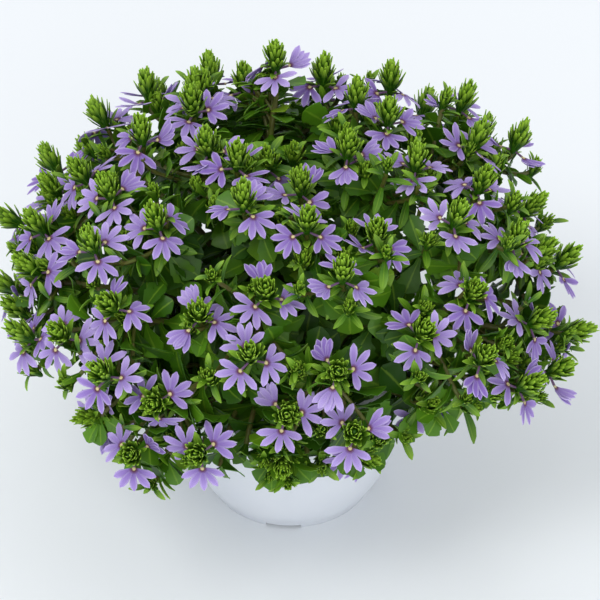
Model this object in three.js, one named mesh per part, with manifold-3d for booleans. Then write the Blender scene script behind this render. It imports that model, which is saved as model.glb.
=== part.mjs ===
// Potted fan flower: a bushy bedding plant with half-round lilac blooms, in a white plastic pot.
// Units are millimetres, +Z is up, the origin is the centre of the pot's foot, and -Y is the front.
import * as THREE from "three";
import { mergeVertices } from "three/addons/utils/BufferGeometryUtils.js";
import Module from "manifold-3d";

const wasm = await Module();
wasm.setup();

// Driving dimensions of the pot
const potHeight = 96;
const footRadius = 41;
const footHeight = 4;
const footWidth = 5.5;
const shoulderRadius = 42.5;
const bellyRadius = 55;
const bellyHeight = 18;
const neckRadius = 64.5;
const neckHeight = 85;
const lipReach = 2;
const lipRound = 0.8;
const potWall = 1.8;
const potFloor = 5;
const floorRise = 3.2;
const notchWidth = 18;
const notchHeight = 2;
const notchCount = 4;
const notchTurn = -95.6;
const drainRadius = 4;
const drainCircle = 24;
const drainCount = 5;
const drainSides = 8;
const potSides = 32;
const wallSteps = 4;

// Driving dimensions of the soil
const soilTop = 86;
const soilBump = 1.4;
const soilEdge = 1.5;
const soilGap = 0.4;
const soilSides = 16;
const plantingDepth = 12;
const stemRise = 8;
const holeGap = 0.5;

// Driving dimensions of the plant's dome and stems
const sprayCount = 22;
const headsPerSpray = 3;
const goldenAngle = 137.508;
const growthSeed = 13;
const crownTurn = 237;
const crownWidth = 144;
const crownDepth = 126;
const crownRise = 120;
const crownBase = 100;
const crownBack = 1;
const crownFullness = 2.7;
const lowestLean = 78;
const headGap = 34;
const headScatter = 5;
const rootSpread = 42;
const axisOut = 0.75;
const axisUp = 0.5;
const mainStemRadius = 2.3;
const sideStemRadius = 1.5;
const stemArch = 0.35;
const forkShare = 0.62;
const forkLift = 24;
const forkAt = 0.6;
const forkStep = 0.06;
const leaderSteps = 6;
const sideSteps = 2;
const stemSides = 3;

// Shoots that grew out of the dome, each with the places of its tips
const wayward = [
  { name: "tall", turn: 95, root: 22, tips: [[-8, 72, 226], [-24, 80, 206]], lean: 6 },
  { name: "long", turn: -10, root: 46, tips: [[152, -22, 118]], lean: 66 },
  { name: "left", turn: 176, root: 46, tips: [[-151, 42, 142], [-153, 14, 122]], lean: 60 },
  { name: "corner", turn: 210, root: 46, tips: [[-108, -62, 92]], lean: 72 },
  { name: "low", turn: -90, root: 46, tips: [[-4, -116, 104]], lean: 74, leafy: true },
];

// Driving dimensions of the heads, blooms and leaves
const headShape = [[-15, 2.6], [-10, 4], [-4.5, 2.6]];
const bractReach = 2.8;
const bractLift = 3.2;
const headNeck = 1.5;
const bloomDrop = 17.5;
const bloomsPerHead = 3;
const throatReach = 7.5;
const petalLength = 12.6;
const petalStep = 42;
const petalNotch = 5.2;
const petalCurl = -0.04;
const collarInside = 4.8;
const collarOutside = 8.6;
const throatDepth = 2;
const throatRaise = 0.4;
const petalOverlap = 3;
const bloomLifts = [0, 3, -3, 6, -6, 9, -9, 12, -12];
const bloomShrinks = [1, 0.85, 0.72, 0.6];
const bloomDroops = [16, 30, 2, 44, 58];
const leafLength = 19;
const leafWidth = 11;
const leafRise = 0.3;
const leafDepth = 1.6;
const leafRoot = -0.6;
const leafOut = 0.85;
const leafUp = 0.45;
const leafNudges = [0, 40, -40, 80, -80, 120, -120, 160];
const leavesPerShoot = 2;
const leaderLeaves = 0.72;
const sideLeaves = 0.4;
const lastLeaf = 0.92;
const leafSeed = 500;
const trims = [0.02, 0.05, 0.1];
const grids = [0.01, 0.02, 0.03, 0.05];

// Surface colours
const potWhite = 0xf1f3f6;
const soilBrown = 0x35281d;
const leafGreen = 0x3f7a1f;
const petalLilac = 0xa892e0;

const up = new THREE.Vector3(0, 0, 1);
const radians = THREE.MathUtils.degToRad;

// Even random draws between two limits, from one seeded stream
function stream(seed) {
  let state = (seed + growthSeed) * 7919 + 104729;
  const draw = (low, high) => {
    state = (state * 16807) % 2147483647;
    return low + ((high - low) * state) / 2147483647;
  };
  draw(0, 1);
  return draw;
}

// A closed geometry as a solid that can be joined and cut
function solidOf(geometry) {
  const bare = new THREE.BufferGeometry();
  bare.setAttribute("position", geometry.getAttribute("position").clone());
  if (geometry.index) bare.setIndex(geometry.index.clone());
  const merged = mergeVertices(bare, 1e-4);
  return new wasm.Manifold(
    new wasm.Mesh({
      numProp: 3,
      vertProperties: new Float32Array(merged.attributes.position.array),
      triVerts: new Uint32Array(merged.index.array),
    }),
  );
}

// A solid's skin, with its triangles in order from the highest down
function geometryOf(solid) {
  const { vertProperties, triVerts } = solid.getMesh();
  const faces = [];
  for (let i = 0; i < triVerts.length; i += 3) faces.push(Array.from(triVerts.slice(i, i + 3)));
  const height = (face) => Math.max(...face.map((corner) => vertProperties[3 * corner + 2]));
  faces.sort((a, b) => height(b) - height(a));
  const geometry = new THREE.BufferGeometry();
  geometry.setAttribute("position", new THREE.BufferAttribute(vertProperties, 3));
  geometry.setIndex(faces.flat());
  return geometry;
}

function joined(solids) {
  return solids.reduce((whole, piece) => whole.add(piece));
}

// A solid's skin with its corners rounded to a grid and without the triangles that then collapse,
// and the height of its thinnest triangle, or 0 if an edge doesn't join just two triangles
function rounded(solid, grid) {
  const { vertProperties, triVerts } = solid.getMesh();
  const [points, places, uses] = [[], new Map(), new Map()];
  const moved = Array.from({ length: vertProperties.length / 3 }, (_, i) => {
    const point = vertProperties.slice(3 * i, 3 * i + 3).map((value) => Math.round(value / grid) * grid);
    const name = Array.from(point, (value) => value.toFixed(4)).join();
    if (!places.has(name)) places.set(name, points.push(new THREE.Vector3(...point)) - 1);
    return places.get(name);
  });
  const faces = [];
  let thinnest = Infinity;
  for (let i = 0; i < triVerts.length; i += 3) {
    const face = [0, 1, 2].map((k) => moved[triVerts[i + k]]);
    if (new Set(face).size < 3) continue;
    faces.push(...face);
    const corners = face.map((place) => points[place]);
    const longest = Math.max(...corners.map((point, k) => point.distanceTo(corners[(k + 1) % 3])));
    thinnest = Math.min(thinnest, (2 * new THREE.Triangle(...corners).getArea()) / longest);
    face.forEach((place, k) => {
      const edge = [place, face[(k + 1) % 3]].sort().join();
      uses.set(edge, (uses.get(edge) ?? 0) + 1);
    });
  }
  if ([...uses.values()].some((count) => count !== 2)) thinnest = 0;
  return { points, faces, thinnest };
}

// The solid without the loose scraps and slivers that joining leaves
function tidied(solid) {
  let best = { thinnest: 0 };
  for (const trim of trims) {
    const bodies = solid.asOriginal().simplify(trim).decompose();
    const body = bodies.reduce((largest, other) => (other.volume() > largest.volume() ? other : largest));
    for (const grid of grids) {
      const choice = rounded(body, grid);
      if (choice.thinnest > best.thinnest) best = choice;
    }
  }
  return shell(best.points, best.faces);
}

function boxesMeet(a, b, gap = 0.3) {
  const [p, q] = [a.boundingBox(), b.boundingBox()];
  return [0, 1, 2].every((i) => p.min[i] < q.max[i] + gap && q.min[i] < p.max[i] + gap);
}

function crosses(solid, others) {
  return others.some((other) => boxesMeet(solid, other) && !solid.intersect(other).isEmpty());
}

// A closed solid from its corners and triangles
function shell(points, faces) {
  const geometry = new THREE.BufferGeometry().setFromPoints(points);
  geometry.setIndex(faces);
  const solid = solidOf(geometry);
  return solid.volume() > 0 ? solid : null;
}

// The pot: one lathe-turned wall with a rolled lip and a foot ring, cut by notches and drain holes
function potWallCurve(inset) {
  return new THREE.QuadraticBezierCurve(
    new THREE.Vector2(shoulderRadius - inset, footHeight),
    new THREE.Vector2(bellyRadius - inset, bellyHeight),
    new THREE.Vector2(neckRadius - inset, neckHeight),
  );
}

function makePot() {
  const outside = potWallCurve(0).getPoints(wallSteps);
  const inside = potWallCurve(potWall).getPoints(wallSteps).filter((point) => point.y > potFloor + 1);
  const lipRadius = neckRadius + lipReach;
  const point = (radius, height) => new THREE.Vector2(radius, height);
  const profile = [
    point(0, floorRise),
    point(footRadius - footWidth, floorRise),
    point(footRadius - footWidth, 0),
    point(footRadius, 0),
    ...outside,
    point(lipRadius, neckHeight + lipRound),
    point(lipRadius, potHeight - lipRound),
    point(lipRadius - lipRound, potHeight),
    point(neckRadius - potWall, potHeight),
    ...inside.reverse(),
    point(shoulderRadius - potWall, potFloor),
    point(0, potFloor),
  ];
  const lathe = new THREE.LatheGeometry(profile, potSides).rotateX(Math.PI / 2);
  let pot = solidOf(lathe);
  for (let i = 0; i < notchCount; i += 1) {
    const notch = new THREE.BoxGeometry(3 * footWidth, notchWidth, 2 * notchHeight);
    notch.translate(footRadius - footWidth / 2, 0, 0);
    notch.rotateZ(radians(notchTurn + (360 / notchCount) * i));
    pot = pot.subtract(solidOf(notch));
  }
  for (let i = 0; i < drainCount; i += 1) {
    const drain = new THREE.CylinderGeometry(drainRadius, drainRadius, 3 * potFloor, drainSides);
    drain.rotateX(Math.PI / 2);
    drain.translate(drainCircle, 0, potFloor);
    drain.rotateZ(radians((360 / drainCount) * i));
    pot = pot.subtract(solidOf(drain));
  }
  return pot;
}

// The potting soil: it fills the pot, and its top is raised in low crumbs by a formula
function makeSoil(holes) {
  const wall = potWallCurve(potWall + soilGap).getPoints(wallSteps);
  const topRadius = neckRadius - potWall - 2.5 * soilGap;
  const profile = [
    new THREE.Vector2(0, potFloor + soilGap),
    new THREE.Vector2(shoulderRadius - potWall - soilGap - 1, potFloor + soilGap),
    ...wall.filter((point) => point.y > potFloor + 3 && point.y < soilTop - 4),
    new THREE.Vector2(topRadius, soilTop - soilEdge),
    new THREE.Vector2(topRadius * 0.8, soilTop),
    new THREE.Vector2(topRadius * 0.4, soilTop),
    new THREE.Vector2(0, soilTop),
  ];
  const lathe = new THREE.LatheGeometry(profile, soilSides).rotateX(Math.PI / 2);
  const places = lathe.getAttribute("position");
  for (let i = 0; i < places.count; i += 1) {
    if (places.getZ(i) < soilTop - 0.1) continue;
    const [x, y] = [places.getX(i), places.getY(i)];
    places.setZ(i, soilTop + soilBump * Math.sin(x * 0.31 + 1) * Math.cos(y * 0.37));
  }
  return holes.reduce((soil, hole) => soil.subtract(hole), solidOf(lathe));
}

// A place on the crown's dome, and the dome's outward direction there. The dome is fuller in its
// corners than half an ellipsoid, by the power that its sizes are summed with.
function crownPlace(lean, turn) {
  const ways = [
    Math.sin(radians(lean)) * Math.cos(radians(turn)),
    Math.sin(radians(lean)) * Math.sin(radians(turn)),
    Math.cos(radians(lean)),
  ];
  const sum = ways.reduce((total, way) => total + Math.abs(way) ** crownFullness, 0);
  const [across, deep, high] = ways.map((way) => way / sum ** (1 / crownFullness));
  const slope = (way) => Math.sign(way) * Math.abs(way) ** (crownFullness - 1);
  return {
    point: new THREE.Vector3(
      crownWidth * across,
      crownBack + crownDepth * deep,
      crownBase + crownRise * high,
    ),
    outward: new THREE.Vector3(
      slope(across) / crownWidth,
      slope(deep) / crownDepth,
      slope(high) / crownRise,
    ).normalize(),
  };
}

function rootPlace(radius, turn) {
  return new THREE.Vector3(radius * Math.cos(radians(turn)), radius * Math.sin(radians(turn)), soilTop);
}

// The plan of one spray: a main stem from the soil that forks to three heads on the dome
function planSpray(index) {
  const draw = stream(index);
  const share = (index + 0.5) / sprayCount;
  const lean = THREE.MathUtils.radToDeg(Math.acos(1 - share * (1 - Math.cos(radians(lowestLean)))));
  const turn = crownTurn + goldenAngle * index;
  const { point, outward } = crownPlace(lean, turn);
  const level = new THREE.Vector3().crossVectors(up, outward).normalize();
  const rising = new THREE.Vector3().crossVectors(outward, level);
  const axis = outward.clone().multiplyScalar(axisOut).addScaledVector(up, axisUp).normalize();
  const spin = draw(0, 120);
  const heads = [];
  for (let k = 0; k < headsPerSpray; k += 1) {
    const angle = radians(spin + (360 / headsPerSpray) * k);
    const offset = headGap / Math.sqrt(3);
    const tip = point.clone()
      .addScaledVector(level, offset * Math.cos(angle))
      .addScaledVector(rising, offset * Math.sin(angle))
      .addScaledVector(axis, draw(-headScatter, headScatter));
    heads.push({ tip, axis });
  }
  const root = rootPlace(rootSpread * Math.sqrt(share), turn);
  const fork = root.clone().lerp(point, forkShare);
  fork.z += forkLift * Math.sin(radians(lean)) ** 2;
  const name = String(index + 1).padStart(2, "0");
  return { name, index, root, fork, heads, outward, centre: point };
}

// The plan of a wayward shoot, from the places of its tips
function planWayward(shoot, order) {
  const root = rootPlace(shoot.root, shoot.turn);
  const tips = shoot.tips.map((tip) => new THREE.Vector3(...tip));
  const centre = tips.reduce((sum, tip) => sum.add(tip), new THREE.Vector3()).divideScalar(tips.length);
  const outward = new THREE.Vector3(centre.x, centre.y, 0).normalize();
  const lean = radians(shoot.lean);
  const axis = up.clone().multiplyScalar(Math.cos(lean)).addScaledVector(outward, Math.sin(lean));
  const fork = root.clone().lerp(centre, forkShare);
  fork.z += forkLift * Math.sin(lean);
  const heads = tips.map((tip) => ({ tip, axis }));
  return { ...shoot, index: sprayCount + order, root, fork, heads, outward, centre };
}

// The leader runs up out of the soil, over in an arc to the fork, and on into the first head
function leaderCurve(plan) {
  const below = plan.root.clone().setZ(soilTop - plantingDepth);
  const clearOfSoil = plan.root.clone().setZ(soilTop + stemRise);
  const above = plan.root.clone().lerp(plan.fork, 0.3);
  above.z += stemArch * Math.hypot(plan.fork.x - plan.root.x, plan.fork.y - plan.root.y);
  const { tip, axis } = plan.heads[0];
  const end = tip.clone().addScaledVector(axis, -bloomDrop - headNeck);
  const bend = end.clone().addScaledVector(axis, -0.3 * plan.fork.distanceTo(end));
  return new THREE.CatmullRomCurve3([below, clearOfSoil, above, plan.fork, bend, end]);
}

// A side stem leaves the leader near the fork and turns up into its own head
function sideCurve(plan, order) {
  const { tip, axis } = plan.heads[order];
  const joint = forkAt + forkStep * (order - 1);
  const start = onStem(plan.leader, leaderSteps, joint);
  const along = plan.leader.getTangent(joint);
  const end = tip.clone().addScaledVector(axis, -bloomDrop - headNeck);
  const reach = start.distanceTo(end);
  return new THREE.CubicBezierCurve3(
    start,
    start.clone().addScaledVector(along, reach * 0.3),
    end.clone().addScaledVector(axis, -reach * 0.45),
    end,
  );
}

// A point on the straight pieces that a stem is built of
function onStem(curve, steps, along) {
  const step = Math.min(Math.floor(along * steps), steps - 1);
  return curve.getPoint(step / steps).lerp(curve.getPoint((step + 1) / steps), along * steps - step);
}

// A ring of corners round an axis, the first on the side that start points to
function ringAt(centre, axis, count, radius, start) {
  const first = start.clone().addScaledVector(axis, -start.dot(axis)).normalize();
  return Array.from({ length: count }, (_, i) => centre.clone()
    .addScaledVector(first.clone().applyAxisAngle(axis, (2 * Math.PI * i) / count), radius));
}

// A closed skin over rings of corners, from a bottom point to a top point. Where a ring has twice
// the corners of the one before it, each corner is joined to three.
function skin(rings, bottomPoint, topPoint) {
  const points = [...rings.flat(), bottomPoint, topPoint];
  const [bottom, top] = [points.length - 2, points.length - 1];
  const faces = [];
  let start = 0;
  rings.forEach((ring, level) => {
    const next = rings[level + 1];
    const after = start + ring.length;
    for (let i = 0; i < ring.length; i += 1) {
      const j = (i + 1) % ring.length;
      if (level === 0) faces.push(start + j, start + i, bottom);
      if (!next) {
        faces.push(start + i, start + j, top);
      } else if (next.length === ring.length) {
        faces.push(start + i, start + j, after + j, start + i, after + j, after + i);
      } else {
        const middle = after + 2 * i + 1;
        faces.push(start + i, middle, after + 2 * i);
        faces.push(start + i, start + j, middle);
        faces.push(start + j, after + 2 * j, middle);
      }
    }
    start = after;
  });
  return shell(points, faces);
}

// The rings of a stem up to its head. Each lies halfway between the straight pieces it joins, and is
// turned like the one before it, so that the skin neither folds nor twists.
function stemRings(curve, steps, firstRadius, lastRadius, head, side) {
  const centres = Array.from({ length: steps + 1 }, (_, i) => curve.getPoint(i / steps));
  const pieces = centres.slice(1).map((centre, i) => centre.clone().sub(centres[i]).normalize());
  let start = side;
  return centres.map((centre, i) => {
    const axis = i < steps ? (pieces[i - 1] ?? pieces[0]).clone().add(pieces[i]).normalize() : head.axis;
    const radius = firstRadius + ((lastRadius - firstRadius) * i) / steps;
    const ring = ringAt(centre, axis, stemSides, radius, start);
    start = ring[0].clone().sub(centre);
    return ring;
  });
}

// A stem that widens into its head: every second corner of the head's rings stands out and up as a
// bract, one ring's between the next ring's
function makeShoot(curve, steps, firstRadius, head, side) {
  const rings = stemRings(curve, steps, firstRadius, sideStemRadius, head, side);
  const start = rings.at(-1)[0].clone().sub(curve.getPoint(1));
  headShape.forEach(([height, radius], level) => {
    const centre = head.tip.clone().addScaledVector(head.axis, height);
    rings.push(ringAt(centre, head.axis, 2 * stemSides, radius, start).map((corner, i) => {
      if ((i + level) % 2) return corner;
      const out = corner.clone().sub(centre).normalize();
      return corner.addScaledVector(out, bractReach).addScaledVector(head.axis, bractLift);
    }));
  });
  return skin(rings, curve.getPoint(0), head.tip);
}

// The hole in the soil that a leader stands in
function makeHole(plan) {
  const [first, last] = [mainStemRadius + holeGap, sideStemRadius + holeGap];
  const rings = stemRings(plan.leader, leaderSteps, first, last, plan.heads[0], plan.side).slice(0, 2);
  const bottom = plan.leader.getPoint(0);
  bottom.z -= holeGap;
  for (const corner of rings[0]) corner.z -= holeGap;
  return skin(rings, bottom, plan.leader.getPoint(1 / leaderSteps));
}

// The ring of blooms under a head. Each bloom has five petals in a half circle round its throat, and
// the blooms grow together in a collar round the stem. The first leans in to the spray's middle,
// where its longest petal meets those of the other heads.
function makeBlooms(head, plan, lift, outerDroop, shrink) {
  const base = head.tip.clone().addScaledVector(head.axis, -bloomDrop);
  const meeting = plan.heads.reduce((sum, other) => sum.add(other.tip), new THREE.Vector3())
    .divideScalar(plan.heads.length).addScaledVector(head.axis, lift - bloomDrop);
  const toward = plan.heads.length > 1 ? meeting.clone().sub(base) : plan.outward.clone().negate();
  const first = toward.clone().addScaledVector(head.axis, -toward.dot(head.axis)).normalize();
  const last = meeting.clone().sub(base).addScaledVector(first, -throatReach);
  const points = [];
  const rings = [];
  const turnStep = 360 / bloomsPerHead;
  const around = (turn) => first.clone().applyAxisAngle(head.axis, radians(turn));
  const add = (point) => points.push(point) - 1;
  for (let bloom = 0; bloom < bloomsPerHead; bloom += 1) {
    const leans = bloom === 0 && plan.heads.length > 1;
    const droop = leans ? Math.atan2(-last.dot(head.axis), last.dot(first)) : radians(outerDroop);
    const direction = around(bloom * turnStep);
    const throat = base.clone().addScaledVector(direction, throatReach);
    const aim = direction.clone().multiplyScalar(Math.cos(droop));
    aim.addScaledVector(head.axis, -Math.sin(droop));
    const side = new THREE.Vector3().crossVectors(head.axis, direction);
    const face = new THREE.Vector3().crossVectors(aim, side);
    const place = (across, along, high) => add(throat.clone()
      .addScaledVector(side, across).addScaledVector(aim, along).addScaledVector(face, high));
    const outline = [];
    for (let petal = -2; petal <= 2; petal += 1) {
      const turn = radians(petal * petalStep);
      const length = petal === 0 && leans ? last.length() + petalOverlap : petalLength * shrink;
      outline.push(place(length * Math.sin(turn), length * Math.cos(turn), petalCurl * length));
      const notch = radians((petal + 0.5) * petalStep);
      if (petal < 2) outline.push(place(petalNotch * Math.sin(notch), petalNotch * Math.cos(notch), 0.3));
    }
    const between = around((bloom + 0.5) * turnStep);
    rings.push({
      outline,
      top: place(0, 0, throatRaise),
      under: place(0, 0, -throatDepth),
      outer: add(base.clone().addScaledVector(between, collarOutside)),
      inner: add(base.clone().addScaledVector(between, collarInside)),
    });
  }
  const faces = [];
  const both = (a, b, top, under) => faces.push(a, b, top, b, a, under);
  rings.forEach((ring, bloom) => {
    const before = rings[(bloom + bloomsPerHead - 1) % bloomsPerHead];
    const after = rings[(bloom + 1) % bloomsPerHead];
    const edge = [before.outer, ...ring.outline, ring.outer];
    for (let i = 0; i + 1 < edge.length; i += 1) both(edge[i], edge[i + 1], ring.top, ring.under);
    both(ring.inner, before.inner, ring.top, ring.under);
    faces.push(ring.outer, after.top, ring.top, ring.outer, ring.under, after.under);
    faces.push(ring.inner, ring.top, after.top, ring.inner, after.under, ring.under);
  });
  return shell(points, faces);
}

// A spoon-shaped leaf with a toothed tip, its stalk sunk into the stem. Its edges rise to one point
// of the rib on each face, so both faces split into triangles alike.
function makeLeaf(origin, aim, face, size) {
  const side = new THREE.Vector3().crossVectors(aim, face).normalize();
  const normal = new THREE.Vector3().crossVectors(side, aim);
  const length = leafLength * size;
  const half = (leafWidth * size) / 2;
  const place = (across, along, high) => origin.clone()
    .addScaledVector(side, across).addScaledVector(aim, along).addScaledVector(normal, high);
  const points = [
    place(0, leafRoot, 0),
    place(half, 0.6 * length, 0.8),
    place(0.5 * half, 0.76 * length, 0.3),
    place(0, length, -1),
    place(-0.5 * half, 0.76 * length, 0.3),
    place(-half, 0.6 * length, 0.8),
  ];
  const count = points.length;
  points.push(place(0, 0.5 * length, leafRise), place(0, 0.5 * length, -leafDepth));
  const faces = [];
  for (let i = 0; i < count; i += 1) {
    const next = (i + 1) % count;
    faces.push(i, next, count, next, i, count + 1);
  }
  return shell(points, faces);
}

// The ring of blooms under one head, the largest that is clear of its neighbours
function clearBlooms(head, plan, lift, rivals) {
  for (const shrink of bloomShrinks) {
    for (const droop of bloomDroops) {
      const solid = makeBlooms(head, plan, lift, droop, shrink);
      if (solid && !crosses(solid, rivals)) return solid;
    }
  }
  return null;
}

// All blooms of a spray in one piece, joined where their heads' rings meet
function sprayBlooms(plan, rivals) {
  for (const lift of bloomLifts) {
    const rings = plan.heads.map((head) => clearBlooms(head, plan, lift, rivals));
    if (rings.every((ring) => ring)) return tidied(joined(rings));
  }
  throw new Error(`The blooms of ${plan.name} meet their neighbours`);
}

// The leaves of one shoot, below its blooms, each turned round the stem to where it is clear
function shootLeaves(shoot, draw, rivals) {
  const grown = [];
  for (let i = 0; i < leavesPerShoot; i += 1) {
    const along = shoot.leafy + ((lastLeaf - shoot.leafy) * (i + 0.5)) / leavesPerShoot;
    const origin = onStem(shoot.curve, shoot.steps, along);
    const stem = shoot.curve.getTangent(along);
    const [spin, size] = [draw(0, 360), draw(0.85, 1.15)];
    const across = new THREE.Vector3(1, 0, 0).cross(stem).normalize();
    const turned = leafNudges.map((nudge) => {
      const away = across.clone().applyAxisAngle(stem, radians(spin + nudge));
      const aim = away.multiplyScalar(leafOut).addScaledVector(stem, leafUp).normalize();
      return makeLeaf(origin, aim, stem, size);
    });
    const clear = turned.find((leaf) => leaf && !crosses(leaf, [...rivals, ...grown]));
    if (clear) grown.push(clear);
  }
  return grown;
}

const pot = makePot();
const plans = [];
for (let i = 0; i < sprayCount; i += 1) plans.push(planSpray(i));
wayward.forEach((shoot, order) => plans.push(planWayward(shoot, order)));

// Stems and heads come first, so that blooms and leaves can keep clear of them
for (const plan of plans) {
  plan.leader = leaderCurve(plan);
  plan.side = new THREE.Vector3().crossVectors(up, plan.outward).normalize();
  plan.shoots = plan.heads.map((head, order) => {
    const curve = order ? sideCurve(plan, order) : plan.leader;
    const [steps, radius] = order ? [sideSteps, sideStemRadius] : [leaderSteps, mainStemRadius];
    const leafy = order ? sideLeaves : leaderLeaves;
    return { curve, steps, leafy, solid: makeShoot(curve, steps, radius, head, plan.side) };
  });
  plan.green = joined(plan.shoots.map((shoot) => shoot.solid));
}

// Then the blooms from the rim up, clear of every stem and head and of the other sprays' blooms
const flowering = plans.filter((plan) => !plan.leafy).reverse();
for (const plan of flowering) {
  const grownBlooms = flowering.filter((other) => other.lilac).map((other) => other.lilac);
  plan.lilac = sprayBlooms(plan, [pot, ...plans.map((other) => other.green), ...grownBlooms]);
}

// Last the leaves, clear of everything but their own stem
for (const plan of plans) {
  const draw = stream(plan.index + leafSeed);
  const greens = plans.filter((other) => other !== plan).map((other) => other.green);
  const rivals = [pot, ...greens, ...flowering.map((other) => other.lilac)];
  for (const shoot of plan.shoots) {
    const siblings = plan.shoots.filter((other) => other !== shoot).map((other) => other.solid);
    plan.green = joined([plan.green, ...shootLeaves(shoot, draw, [...rivals, ...siblings])]);
  }
  plan.green = tidied(plan.green);
}

const part = new THREE.Group();
function addMesh(name, solid, color, roughness) {
  const material = new THREE.MeshStandardMaterial({ color, roughness, metalness: 0 });
  const mesh = new THREE.Mesh(geometryOf(solid), material);
  mesh.name = name;
  part.add(mesh);
}
addMesh("pot", pot, potWhite, 0.35);
addMesh("soil", makeSoil(plans.map(makeHole)), soilBrown, 0.95);
for (const plan of plans) {
  addMesh(`spray_${plan.name}`, plan.green, leafGreen, 0.45);
  if (plan.lilac) addMesh(`blooms_${plan.name}`, plan.lilac, petalLilac, 0.6);
}
export default part;
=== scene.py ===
# Potted fan flower: the looks of a bushy bedding plant with half-round lilac blooms, in a white
# plastic pot. The plant's layout repeats the rules and the seeded draws that its solids are grown by,
# in millimetres, and each piece's mesh is in metres in the row frame.
import math

import bmesh
import bpy
import numpy as np
from mathutils import Matrix, Vector, noise
from mathutils.bvhtree import BVHTree


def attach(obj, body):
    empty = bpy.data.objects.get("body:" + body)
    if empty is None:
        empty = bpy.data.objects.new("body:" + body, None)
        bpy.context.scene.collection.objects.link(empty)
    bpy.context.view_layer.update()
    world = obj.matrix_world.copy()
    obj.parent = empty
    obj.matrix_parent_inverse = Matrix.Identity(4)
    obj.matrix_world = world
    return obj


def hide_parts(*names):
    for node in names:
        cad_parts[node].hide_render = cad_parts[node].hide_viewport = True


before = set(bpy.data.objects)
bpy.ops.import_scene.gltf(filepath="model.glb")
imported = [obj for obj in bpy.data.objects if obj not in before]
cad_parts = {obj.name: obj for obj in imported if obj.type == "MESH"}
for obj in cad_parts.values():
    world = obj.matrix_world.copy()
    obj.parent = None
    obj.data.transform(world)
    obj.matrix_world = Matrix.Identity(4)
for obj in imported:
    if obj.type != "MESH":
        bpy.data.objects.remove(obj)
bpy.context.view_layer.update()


# The pot is a nursery pot of white polypropylene, injection moulded in one piece, with a rolled lip,
# a rounded lower wall, a foot ring with four notches and five drain holes. It stands loose on the table.
MM = 0.001
POT_HEIGHT = 96
FOOT_RADIUS, FOOT_HEIGHT, FOOT_WIDTH = 41, 4, 5.5
SHOULDER_RADIUS, BELLY_RADIUS, BELLY_HEIGHT = 42.5, 55, 18
NECK_RADIUS, NECK_HEIGHT = 64.5, 85
LIP_REACH, LIP_ROUND, LIP_SET = 2, 0.8, 0.3
POT_WALL, POT_FLOOR, FLOOR_RISE = 1.8, 5, 3.2
NOTCH_WIDTH, NOTCH_HEIGHT, NOTCH_COUNT, NOTCH_TURN = 18, 2, 4, -95.6
DRAIN_RADIUS, DRAIN_CIRCLE, DRAIN_COUNT, DRAIN_STEPS = 4, 24, 5, 24
POT_STEPS, OUTER_STEPS, INNER_STEPS = 96, 20, 14
EDGE_ROUND, SHARP_EDGE, SMOOTH_BELOW = 0.4, 50, 35
POT_WHITE, POT_SHADE = "#e0e4ea", "#d6dbe4"


def choose(*pieces):
    """Selects these pieces alone, the first of them active."""
    bpy.ops.object.select_all(action="DESELECT")
    for piece in pieces:
        piece.select_set(True)
    bpy.context.view_layer.objects.active = pieces[0]


def pick(mesh, wanted):
    """In edit mode, selects the corners that wanted says yes to, and what lies wholly between them."""
    edited = bmesh.from_edit_mesh(mesh)
    for corner in edited.verts:
        corner.select_set(wanted(corner.co))
    edited.select_flush(True)
    edited.select_flush(False)
    bmesh.update_edit_mesh(mesh)


def turned(name, profile, steps):
    """A solid turned from a profile of (radius, height) in millimetres that starts and ends on the axis."""
    bpy.ops.object.select_all(action="DESELECT")
    bpy.ops.mesh.primitive_plane_add(size=MM, location=(0, 0, 0))
    piece = bpy.context.object
    piece.name = piece.data.name = name
    bpy.ops.object.mode_set(mode="EDIT")
    bpy.ops.mesh.select_all(action="SELECT")
    bpy.ops.mesh.merge(type="CENTER")
    places = [Vector((radius * MM, 0, height * MM)) for radius, height in profile]
    bpy.ops.transform.translate(value=places[0])
    for before, after in zip(places, places[1:]):
        bpy.ops.mesh.extrude_region_move(TRANSFORM_OT_translate={"value": after - before})
    bpy.ops.mesh.select_all(action="SELECT")
    bpy.ops.mesh.spin(steps=steps, angle=2 * math.pi, center=(0, 0, 0), axis=(0, 0, 1))
    bpy.ops.mesh.select_all(action="SELECT")
    bpy.ops.mesh.remove_doubles(threshold=1e-6)
    bpy.ops.mesh.normals_make_consistent(inside=False)
    bpy.ops.object.mode_set(mode="OBJECT")
    return piece


def finish_with(piece, kind, **settings):
    """Adds a modifier with its settings and applies it."""
    choose(piece)
    modifier = piece.modifiers.new(kind.title(), kind)
    for name, value in settings.items():
        setattr(modifier, name, value)
    bpy.ops.object.modifier_apply(modifier=modifier.name)


def wall_curve(inset, steps):
    """The pot's wall from the foot to the neck, as (radius, height), inset by so many millimetres."""
    places = []
    for step in range(steps + 1):
        t = step / steps
        weights = ((1 - t) ** 2, 2 * t * (1 - t), t * t)
        radii = (SHOULDER_RADIUS - inset, BELLY_RADIUS - inset, NECK_RADIUS - inset)
        heights = (FOOT_HEIGHT, BELLY_HEIGHT, NECK_HEIGHT)
        places.append(
            (
                sum(w * r for w, r in zip(weights, radii)),
                sum(w * h for w, h in zip(weights, heights)),
            )
        )
    return places


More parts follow.
